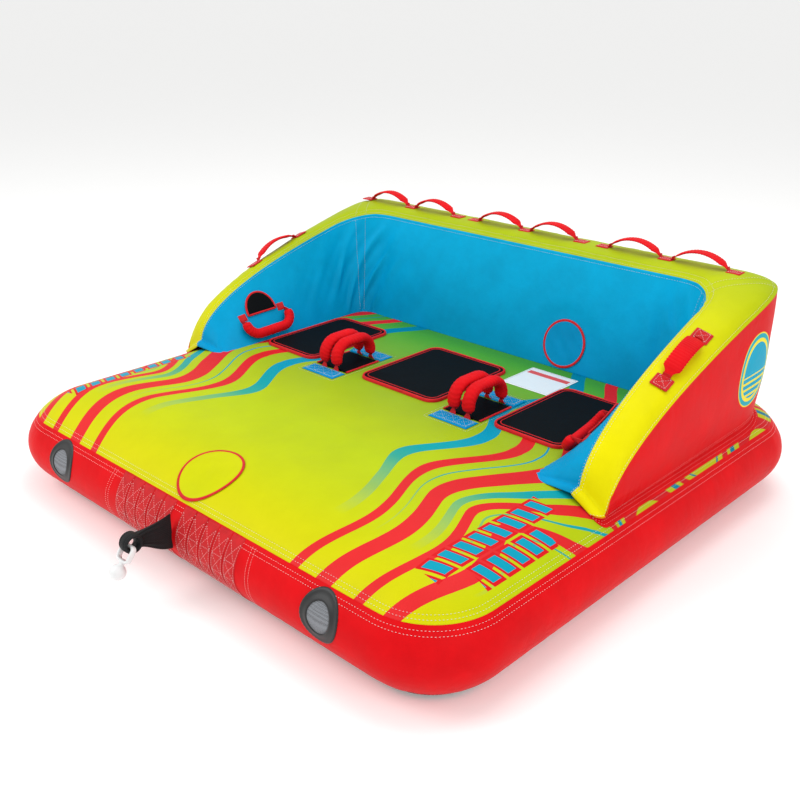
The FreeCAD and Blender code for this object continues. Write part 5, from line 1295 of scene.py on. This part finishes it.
side_knuckles = show("side_knuckle_cushions", side_pads, pad_black,
                     stands_for=["side_knuckle_pads"])
show("knuckle_pad_edges", edge_shells, red_tape,
     stands_for=["knuckle_pad_bindings"])
show("handle_webbing_ends", handle_feet, red_webbing,
     stands_for=["handle_webbing_feet"])


# ---- grab straps -------------------------------------------------------------------------------
# Red padded grab straps: three pairs along the crest and one on each wing. Each stands in a low
# bow between tabs that are sewn to the yellow band with a boxed cross.
CREST = np.array([0.0, 0.6395, 0.6705])
CREST_TILT = 0.003 / 0.165
STRAP_CENTRES = (-0.560, -0.035, 0.495)
STRAP_REACH = 0.222
HINGE = 0.011
TAB_LONG = 0.046
FOLD_GAP = 0.0004            # between a tab and the strap that turns on it


def bow_strap(half_span, height, wide, neck, thick):
    """A strap bowed over a circular arc from hinge to hinge; it widens from its necks as a
    smoothstep, and its padding is ruched."""
    sag = height - HINGE
    radius = (half_span ** 2 + sag ** 2) / (2 * sag)
    turn = math.asin(half_span / radius)
    angle = np.linspace(-turn, turn, 120)
    path = np.stack([0 * angle, radius * np.sin(angle), height - thick / 2 - radius
                     + radius * np.cos(angle)], 1)
    ahead = np.stack([0 * angle, np.cos(angle), -np.sin(angle)], 1)
    run = radius * (angle + turn)
    end = np.minimum(run, run[-1] - run)
    breadth = neck + (wide - neck) * smooth((end - 0.006) / 0.018)
    depth = 0.0028 + (thick - 0.0028) * smooth((end - 0.010) / 0.016)
    folds = 1 + 0.10 * np.sin(2 * np.pi * run / 0.0092 + 0.8 * np.sin(run / 0.02)) \
        * smooth((end - 0.012) / 0.010)
    size = np.stack([breadth * (1 + (folds - 1) * 0.35), depth * folds], 1)
    return carried(path, ahead, (1, 0, 0), oval(1, 1, 20, 0.75)[None] * size[:, None])


def boxed_cross(wide, long, above):
    """Stitch rows of a box with both diagonals, flat at the origin."""
    a, b = wide / 2, long / 2
    ends = [((-a, -b), (a, -b)), ((a, -b), (a, b)), ((a, b), (-a, b)), ((-a, b), (-a, -b)),
            ((-a, -b), (a, b)), ((a, -b), (-a, b))]
    share = np.linspace(0, 1, 10)[:, None]
    return [np.column_stack([np.array(p) + share * (np.array(q) - np.array(p)),
                             np.full(10, above)]) for p, q in ends]


def strap_end(wide, long, neck, ends):
    """A sewn tab, and the ears that rise from its ends to the hinge line."""
    parts = [plate((-wide / 2, wide / 2), (-long / 2, long / 2), 0.003, -0.0015, 0.0040, 0.0002)]
    for end in ends:
        knots = np.array([[0, long / 2 - 0.012, 0.0022], [0, long / 2 - 0.004, 0.0028],
                          [0, long / 2 - 0.0014, 0.0060], [0, long / 2 - 0.0012, 0.0125]])
        dense = read_off(knots, range(4), np.linspace(0, 3, 18)) * [1, end, 1]
        ahead = travel(dense)
        tape = carried(dense, ahead, (1, 0, 0), oval(neck, 0.0022, 12, 0.5))
        parts.append(rod(tape))
    return parts


def placed(part, origin, x_axis, z_axis, mirror=(1, 1, 1)):
    """A shell built at the origin, set in place; a mirrored one has its faces turned back."""
    vertices = lined_up(part[0], origin, x_axis, z_axis) * mirror
    if mirror[0] > 0:
        return (vertices, *part[1:])
    return (vertices, part[1][:, ::-1], part[2][:, ::-1], part[3][:, ::-1], part[4][:, ::-1])


crest_x, crest_z = (0, -1, -CREST_TILT), (0, -CREST_TILT, 1)
loop_half = (STRAP_REACH - TAB_LONG) / 2 - FOLD_GAP
loop = bow_strap(loop_half, 0.0440, 0.038, 0.018, 0.0070)
crest_tabs, strap_rows, number = [], [], 0
for centre in STRAP_CENTRES:
    for place, ears in ((-1, (1,)), (0, (-1, 1)), (1, (-1,))):
        spot = CREST + [centre + place * STRAP_REACH, 0, 0]
        crest_tabs += [placed(part, spot, crest_x, crest_z)
                       for part in strap_end(0.037, TAB_LONG, 0.018, ears)]
        for line in boxed_cross(0.024, 0.036, 0.0032):
            strap_rows.append((lined_up(line, spot, crest_x, crest_z), (0, 0, 1)))
    for place in (-1, 1):
        number += 1
        spot = CREST + [centre + place * STRAP_REACH / 2, 0, 0]
        grid = lined_up(loop, spot, crest_x, crest_z)
        crest_loop = show(f"crest_strap_{number}", rod(grid),
                          red_sleeve, f"back_strap_loop_{number}",
                          [f"back_strap_loop_{number}"])
show("crest_strap_tabs", crest_tabs, red_webbing,
     stands_for=["back_strap_tabs"])

wing_y = np.array([0.095, 0.297])
wing_seams, wing_heading, wing_nose = seams(wing_y, np.zeros(2), np.zeros(2))
wing_seams = [seam + [0, 0, 0.0025 if k in (0, 3) else 0] for k, seam in enumerate(wing_seams)]
wing_top, _ = band_surface([0.5], wing_seams, wing_heading, wing_nose)
front_end, rear_end = wing_top[0]
wing_cross = (wing_seams[2] - wing_seams[1]).mean(0)
wing_along = rear_end - front_end
wing_span = np.linalg.norm(wing_along)
wing_off = np.cross(wing_cross, wing_along)
wing_off *= np.sign(wing_off[2]) / np.linalg.norm(wing_off)
wing_spot = (front_end + rear_end) / 2 + wing_off * 0.002
wing_x = np.cross(wing_along / wing_span, wing_off)
loop = bow_strap((wing_span - TAB_LONG) / 2 - FOLD_GAP, 0.0350, 0.050, 0.024, 0.0090)
wing_tabs = []
for side, wing in ((-1, "right"), (1, "left")):
    mirror = np.array([side, 1, 1])
    grid = lined_up(loop, wing_spot, wing_x, wing_off) * mirror
    wing_loop = show(f"wing_strap_{wing}_grip", rod(grid), red_sleeve,
                     f"wing_strap_{wing}", [f"wing_strap_{wing}"])
    for end in (-1, 1):
        spot = wing_spot + wing_along / wing_span * end * wing_span / 2 - wing_off * 0.001
        wing_tabs += [placed(part, spot, wing_x, wing_off, mirror)
                      for part in strap_end(0.050, TAB_LONG, 0.024, (-end,))]
        for line in boxed_cross(0.034, 0.036, 0.0034):
            strap_rows.append((lined_up(line, spot, wing_x, wing_off) * mirror,
                               wing_off * mirror))
show("wing_strap_tab_webbing", wing_tabs, red_webbing,
     stands_for=["wing_strap_tabs"])
show("strap_tab_stitches", stitches(strap_rows, 0.0060, 0.0010), white_thread)


# ---- valve covers ------------------------------------------------------------------------------
# Round cloth flaps with a red bound edge over each valve, stitched along their upper side and
# laid on the surface: yellow on the deck, blue and creased on the backrest. The valves lie in the
# bladders below the cloth, which is drawn whole here.
DECK_VALVE = np.array([0.0, -0.722])
DECK_FLAP, BACK_FLAP = 0.092, 0.078         # radii over their binding


def round_flap(radius, surface, wall=0.0020, creased=0.0):
    """A thin round flap as a closed skin: rings under it, round its edge and over it."""
    under = np.linspace(0.02, 0.985, 8)
    over = np.linspace(0.985, 0.02, 22)
    share = np.concatenate([under, [1.0, 1.0], over])
    lift = np.concatenate([np.full(8, 0.0008), [0.0012, 0.0024], np.full(22, 0.0008 + wall)])
    turn = np.linspace(0, 2 * np.pi, 96, endpoint=False)
    a = radius * share[:, None] * np.cos(turn)
    b = radius * share[:, None] * np.sin(turn)
    wave = creased * (np.sin(a / 0.0105 + 1.2 * np.sin(b / 0.021)) * np.cos(b / 0.034)
                      + 0.6 * np.sin((a + b) / 0.0083))
    top = (np.arange(len(share)) >= 10)[:, None] * np.clip((1 - share[:, None]) / 0.12, 0, 1)
    lift = np.broadcast_to(lift[:, None], a.shape) + (wave + creased) * top
    grid = surface(a, b, lift)
    core = surface(0.99 * a, 0.99 * b, lift * 0 + 0.0018)
    return shell(grid, True, (True, True), core)


def bound_circle(radius, surface):
    """A binding tape round a flap: a low arch in section, carried round the circle."""
    arch = np.linspace(0, 2 * np.pi, 14, endpoint=False)
    ring = radius - 0.0038 + 0.0040 * np.cos(arch)
    lift = 0.0023 + 0.0017 * np.sin(arch)
    turn = np.linspace(0, 2 * np.pi, 121)
    a, b = np.cos(turn)[:, None] * ring, np.sin(turn)[:, None] * ring
    core = surface(np.cos(turn)[:, None] * (ring * 0 + radius - 0.0038),
                   np.sin(turn)[:, None] * (ring * 0 + radius - 0.0038), ring * 0 + 0.0023)
    return shell(surface(a, b, np.broadcast_to(lift, a.shape)), True, (False, False), core)


def over_deck_valve(a, b, lift):
    """Points on the sloping front of the deck, around its valve."""
    x, y = DECK_VALVE[0] + a, DECK_VALVE[1] + b * 0.955
    points = np.stack([x, y, deck_z(x, y)], -1)
    return points + deck_normal(x, y) * lift[..., None]


back_foot = np.array([0.0, 0.455, deck_z(0.0, 0.455) + 0.001])
back_up = np.array([0.0, 0.557, 0.647]) - back_foot
back_up /= np.linalg.norm(back_up)
back_off = np.array([0.0, -back_up[2], back_up[1]])
back_spot = back_foot + back_up * BACK_VALVE_RISE + [BACK_VALVE_X, 0, 0]


def over_back_valve(a, b, lift):
    """Points on the flat back of the seat side, around its valve."""
    return (back_spot + a[..., None] * np.array([1.0, 0, 0]) + b[..., None] * back_up
            + lift[..., None] * back_off)


blue_flap = coated_cloth("blue_flap_nylon", "#0090C4", crease=0.0010, depth=0.84)
yellow_flap = coated_cloth("yellow_flap_nylon", "#C6CA06", crease=0.0008, depth=0.92)
for flap, radius, surface, finish, finish_slot, creased, under in (
        ("deck_valve_cover", DECK_FLAP, over_deck_valve, yellow_flap, "yellow_cover", 0.0002,
         "deck_top_cover"),
        ("backrest_valve_cover", BACK_FLAP, over_back_valve, blue_flap, "blue_cover", 0.0004,
         "backrest_seat_cover")):
    cloth = show(flap + "_cloth", round_flap(radius - 0.003, surface, creased=creased), finish,
                 flap, [flap])
    edge = show(flap + "_edge", bound_circle(radius, surface), red_tape, flap)


# ---- tow point ---------------------------------------------------------------------------------
# Black webbing fans out of the front seam, gathers in folds, and loops round the bar of a white
# moulded quick connector, which hangs down from it.
EYE = np.array([0.0, -0.974, 0.171])
LINK_ANGLE = math.radians(55.0)

share = np.linspace(0, 1, 50)
fan_y = -0.8562 + share * (EYE[1] + 0.014 + 0.8562)
fan_path = np.stack([0 * share, fan_y, 0.155 + 0.016 * smooth(share)], 1)
fan_ahead = travel(fan_path)
fan_tall = 0.102 - 0.062 * smooth(share * 0.9 + 0.05) ** 0.85
fan_thick = 0.0016 + 0.010 * smooth(share * 1.3) + 0.012 * smooth((share - 0.75) / 0.25)
section = oval(1.0, 1.0, 72, 0.6)[None] * np.stack([fan_thick, fan_tall], 1)[:, None]
pleats = np.cos(2 * np.pi * section[..., 1] / fan_tall[:, None] * 6)
section[..., 0] *= 1 + 0.30 * pleats * smooth(share * 3)[:, None]
fan = carried(fan_path, fan_ahead, (1, 0, 0), section)
turn = np.linspace(0, 2 * np.pi, 61)
ring_path = EYE + 0.0212 * np.stack([0 * turn, np.cos(turn), np.sin(turn)], 1)
ring_ahead = np.stack([0 * turn, -np.sin(turn), np.cos(turn)], 1)
eye_section = oval(0.034, 0.0092, 40, 0.55)
eye_section[:, 1] *= 1 + 0.22 * np.cos(2 * np.pi * eye_section[:, 0] / 0.0062)
eye_ring = carried(ring_path, ring_ahead, (1, 0, 0), eye_section)
show("tow_strap_webbing", [rod(fan),
                           shell(eye_ring, True, inside=eye_ring.mean(1, keepdims=True))],
     dark_webbing, "tow_strap", ["tow_strap"])

white_moulding = moulded("white_moulded_acetal", "#F1F2F2", 0.32, 700.0, 0.00003)
turn = np.linspace(0, np.pi / 2, 14)
half_wide, far, bend = 0.0222, 0.0405, 0.010
quarters = []
for k, (cx, cz) in enumerate(((half_wide - bend, bend), (half_wide - bend, far - bend),
                              (bend - half_wide, far - bend), (bend - half_wide, bend))):
    angle = turn + (k - 1) * np.pi / 2
    quarters.append(np.stack([cx + bend * np.cos(angle), 0 * angle, cz + bend * np.sin(angle)], 1))
frame_path = np.vstack(quarters + [quarters[0][:1]])
knots = np.concatenate([[0], np.cumsum(np.linalg.norm(np.diff(frame_path, axis=0), axis=1))])
even = np.linspace(0, knots[-1], 97)
frame_path = read_off(frame_path, knots, even)
frame_ahead = np.gradient(np.vstack([frame_path[-2:-1], frame_path, frame_path[1:2]]), axis=0)[1:-1]
frame_ahead /= np.linalg.norm(frame_ahead, axis=1, keepdims=True)
link_frame = carried(frame_path, frame_ahead, (0, 1, 0), oval(0.0160, 0.0078, 20, 0.7))
bulb = np.radians(np.linspace(-62, 70, 24))
profile = np.vstack([[(0.0090, 0.037), (0.0095, 0.043), (0.0080, 0.046), (0.0078, 0.0505)],
                     np.column_stack([0.021 * np.cos(bulb), 0.071 + 0.021 * np.sin(bulb)]),
                     [(0.0068, 0.0912), (0.0060, 0.0910), (0.0055, 0.0880)]])
turn = np.linspace(0, 2 * np.pi, 40, endpoint=False)
rib = 1 + 0.035 * (np.cos(6 * turn) > 0.2)[None] * ((profile[:, 1] > 0.058)
                                                   & (profile[:, 1] < 0.083))[:, None]
neck = np.stack([profile[:, :1] * np.cos(turn) * rib, profile[:, :1] * np.sin(turn) * rib,
                 np.broadcast_to(profile[:, 1:], rib.shape)], 2)
shift_down = np.array([0, 0, 0.016 - 0.007 - 0.0006])      # eye's hole, less bar and clearance
heading = (0.0, -math.cos(LINK_ANGLE), -math.sin(LINK_ANGLE))
link_frame = link_frame + shift_down
link = [shell(link_frame, True, inside=link_frame.mean(1, keepdims=True)), rod(neck + shift_down)]
show("tow_quick_connector", [placed(part, EYE, (1, 0, 0), heading) for part in link],
     white_moulding, "tow_connector", ["tow_connector"])


# ---- zippers -----------------------------------------------------------------------------------
# Black coil zippers across the back of the deck and of the backrest, through which the bladders go
# in. Their sliders are the CAD parts, in black acetal.
rear_foot = np.array([0.0, 0.690, deck_z(0.0, 0.690) + 0.001])
rear_lean = np.array([0.0, 0.722, 0.650]) - rear_foot
black_tape = webbing_weave("black_zipper_tape", "#131416", rib=0.0024)
black_acetal = moulded("black_acetal", "#1B1C1F", 0.35)
for name, half_long, spot, out in (
        ("deck_zipper", 0.600, (0, DECK_HALF[1] + 0.0410, ZIP_Z), (0, 1.0, 0.0)),
        ("backrest_zipper", 0.480, rear_foot + rear_lean / 2, (0, rear_lean[2], -rear_lean[1]))):
    x = np.linspace(-half_long, half_long, 240)
    y = np.array([-0.0165, -0.0155, -0.008, -0.003, 0.003, 0.008, 0.0155, 0.0165])
    lift = np.array([-0.001, 0.0014, 0.0019, 0.0022, 0.0022, 0.0019, 0.0014, -0.001])
    wave = 0.0003 * np.sin(x / 0.013)[:, None] * np.array([0, 1, .5, 0, 0, .5, 1, 0])
    tape = np.stack(np.broadcast_arrays(x[:, None], y[None], lift[None] + wave), 2)
    tape = lined_up(tape, spot, (-1, 0, 0), out)
    zip_tape = show(name + "_tape", shell(tape, inside=(0, 0.3, 0.3)), black_tape,
                    stands_for=[name], wall=0.0008)
    coil_x = np.linspace(-half_long, half_long, 40)
    coils = [(lined_up(np.column_stack([coil_x + shift, 0 * coil_x + side * 0.0014,
                                        0 * coil_x + 0.0030]), spot, (-1, 0, 0), out), out)
             for side, shift in ((-1, 0.0), (1, 0.0014))]
    show(name + "_coil", stitches(coils, 0.0028, 0.0026), black_acetal)
    row_lines = [(lined_up(np.column_stack([coil_x, 0 * coil_x + edge, 0 * coil_x + 0.0022]), spot,
                           (-1, 0, 0), out), out) for edge in (-0.0125, 0.0125)]
    show(name + "_stitches", stitches(row_lines), dark_webbing)
    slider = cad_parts[name + "_slider"]
    slider.data.materials.clear()
    slider.data.materials.append(black_acetal)


# ---- care label --------------------------------------------------------------------------------
# A blank pale vinyl label sewn to the deck in front of the backrest, with a rule round its edge
# and one red stripe.
label_vinyl, tree, shader, place = new_material("printed_pale_vinyl")
axes = add_node(tree, "ShaderNodeSeparateXYZ", {0: place.outputs["Object"]})
sides = []
for axis, middle, half in ((0, 0.276, 0.088), (1, 0.328, 0.082)):
    centred = add_node(tree, "ShaderNodeMath", {0: axes.outputs[axis], 1: middle},
                       operation="SUBTRACT")
    apart = add_node(tree, "ShaderNodeMath", {0: centred.outputs[0]}, operation="ABSOLUTE")
    sides.append(add_node(tree, "ShaderNodeMath", {0: half, 1: apart.outputs[0]},
                          operation="SUBTRACT").outputs[0])
edge_gap = add_node(tree, "ShaderNodeMath", {0: sides[0], 1: sides[1]}, operation="MINIMUM")
rule = add_node(tree, "ShaderNodeMapRange", {"Value": edge_gap.outputs[0], "From Max": 0.02})
face = add_node(tree, "ShaderNodeValToRGB", {"Fac": rule.outputs[0]},
                stops=((0.0, linear("#E9EEF0")), (0.22, linear("#8FA3AC")),
                       (0.30, linear("#D5DDE1"))))
face.color_ramp.interpolation = "CONSTANT"
stripe = add_node(tree, "ShaderNodeMapRange", {"Value": axes.outputs[1], "From Min": 0.246,
                                               "From Max": 0.410})
stripe = add_node(tree, "ShaderNodeValToRGB", {"Fac": stripe.outputs[0]},
                  stops=((0.0, (0, 0, 0, 1)), (0.70, (1, 1, 1, 1)), (0.84, (0, 0, 0, 1))))
stripe.color_ramp.interpolation = "CONSTANT"
inside_rule = add_node(tree, "ShaderNodeMath", {0: edge_gap.outputs[0], 1: 0.012},
                       operation="GREATER_THAN")
stripe = add_node(tree, "ShaderNodeMath", {0: stripe.outputs[0], 1: inside_rule.outputs[0]},
                  operation="MULTIPLY")
inked = add_node(tree, "ShaderNodeMix", {0: stripe.outputs[0], 6: face.outputs[0],
                                         7: linear("#CF4A45")}, data_type="RGBA")
tree.links.new(inked.outputs[2], shader.inputs["Base Color"])
ripple = add_node(tree, "ShaderNodeTexNoise", {"Vector": place.outputs["Object"], "Scale": 26.0})
ripple_bump = add_node(tree, "ShaderNodeBump", {"Height": ripple.outputs[0], "Distance": 0.002})
tree.links.new(ripple_bump.outputs[0], shader.inputs["Normal"])
shader.inputs["Roughness"].default_value = 0.38
care = show("care_label_vinyl", plate((0.188, 0.364), (0.246, 0.410), 0.003, DECK_TOP, 0.0012),
            label_vinyl, stands_for=["care_label"])
ring = ring_grid(rim((16, 16), 4), (0.084, 0.078), 0.003, [0.0], [DECK_TOP + 0.0016], None,
                 (0.276, 0.328))[0]
show("care_label_stitches", stitches([(closed(ring), (0, 0, 1))], 0.007, 0.0009), white_thread)


# ---- bladders, baffles and valves --------------------------------------------------------------
# Inside the covers: two welded bladders of heat-sealed PVC film, the deck's with four internal
# baffles that hold it flat, and a black recessed valve with a blue cap in each.
pvc_film = moulded("welded_pvc_film", "#C9CDD0", 0.3, 60.0, 0.0006)
valve_black = moulded("black_valve_pvc", "#17181A", 0.4)
cap_blue = moulded("blue_moulded_cap", "#1670B8", 0.35)
skin_z = np.concatenate([[0.010] * 4, np.linspace(0.010, 0.213, 22)])
skin_out = np.concatenate([[-0.24, -0.20, -0.14, -0.07], side_outset(skin_z[4:]) - 0.010])
over_in = np.concatenate([np.linspace(0.012, 0.25, 20), np.full(14, 0.25)])
skin_z = np.concatenate([skin_z, SEAM_Z + crown(over_in) - 0.008])
skin_out = np.concatenate([skin_out, -over_in])
skin_shrink = np.concatenate([[1.0] * 46, np.linspace(1, 0.02, 15)[1:]])
skin = ring_grid(deck_rim, DECK_HALF, DECK_CORNER, skin_out, skin_z, skin_shrink, least=0.03)
skin = np.concatenate([skin[:1] * [0.02, 0.02, 1], skin[:1] * [0.5, 0.5, 1], skin])
show("deck_bladder_film", shell(skin, True, (True, True), (0, 0, 0.11)), pvc_film,
     stands_for=["deck_bladder"], wall=0.0006)
floor_row = (u_seams[0] + u_seams[3]) / 2
floor_row[:, 2] = deck_z(floor_row[:, 0], floor_row[:, 1])
loop_rows = np.concatenate([u_seams[0][None], inner_grid[4:-3:3], whole_u(half_band)[::3],
                            outer_grid[::-1][4:-3:3], u_seams[3][None], floor_row[None]])
toward = u_core[None] - loop_rows
far = np.linalg.norm(toward, axis=2, keepdims=True)
loop_rows = loop_rows + toward * np.minimum(0.020 / np.maximum(far, 1e-6), 0.6)
u_skin = loop_rows[:, 14:-14].transpose(1, 0, 2)
show("backrest_bladder_film", shell(u_skin, True, (True, True), u_core[14:-14, None]), pvc_film,
     stands_for=["backrest_bladder"], wall=0.0006)
for node, finish in (("deck_baffles", pvc_film), ("deck_valve_body", valve_black),
                     ("backrest_valve_body", valve_black), ("deck_valve_cap", cap_blue),
                     ("backrest_valve_cap", cap_blue)):
    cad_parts[node].data.materials.clear()
    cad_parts[node].data.materials.append(finish)
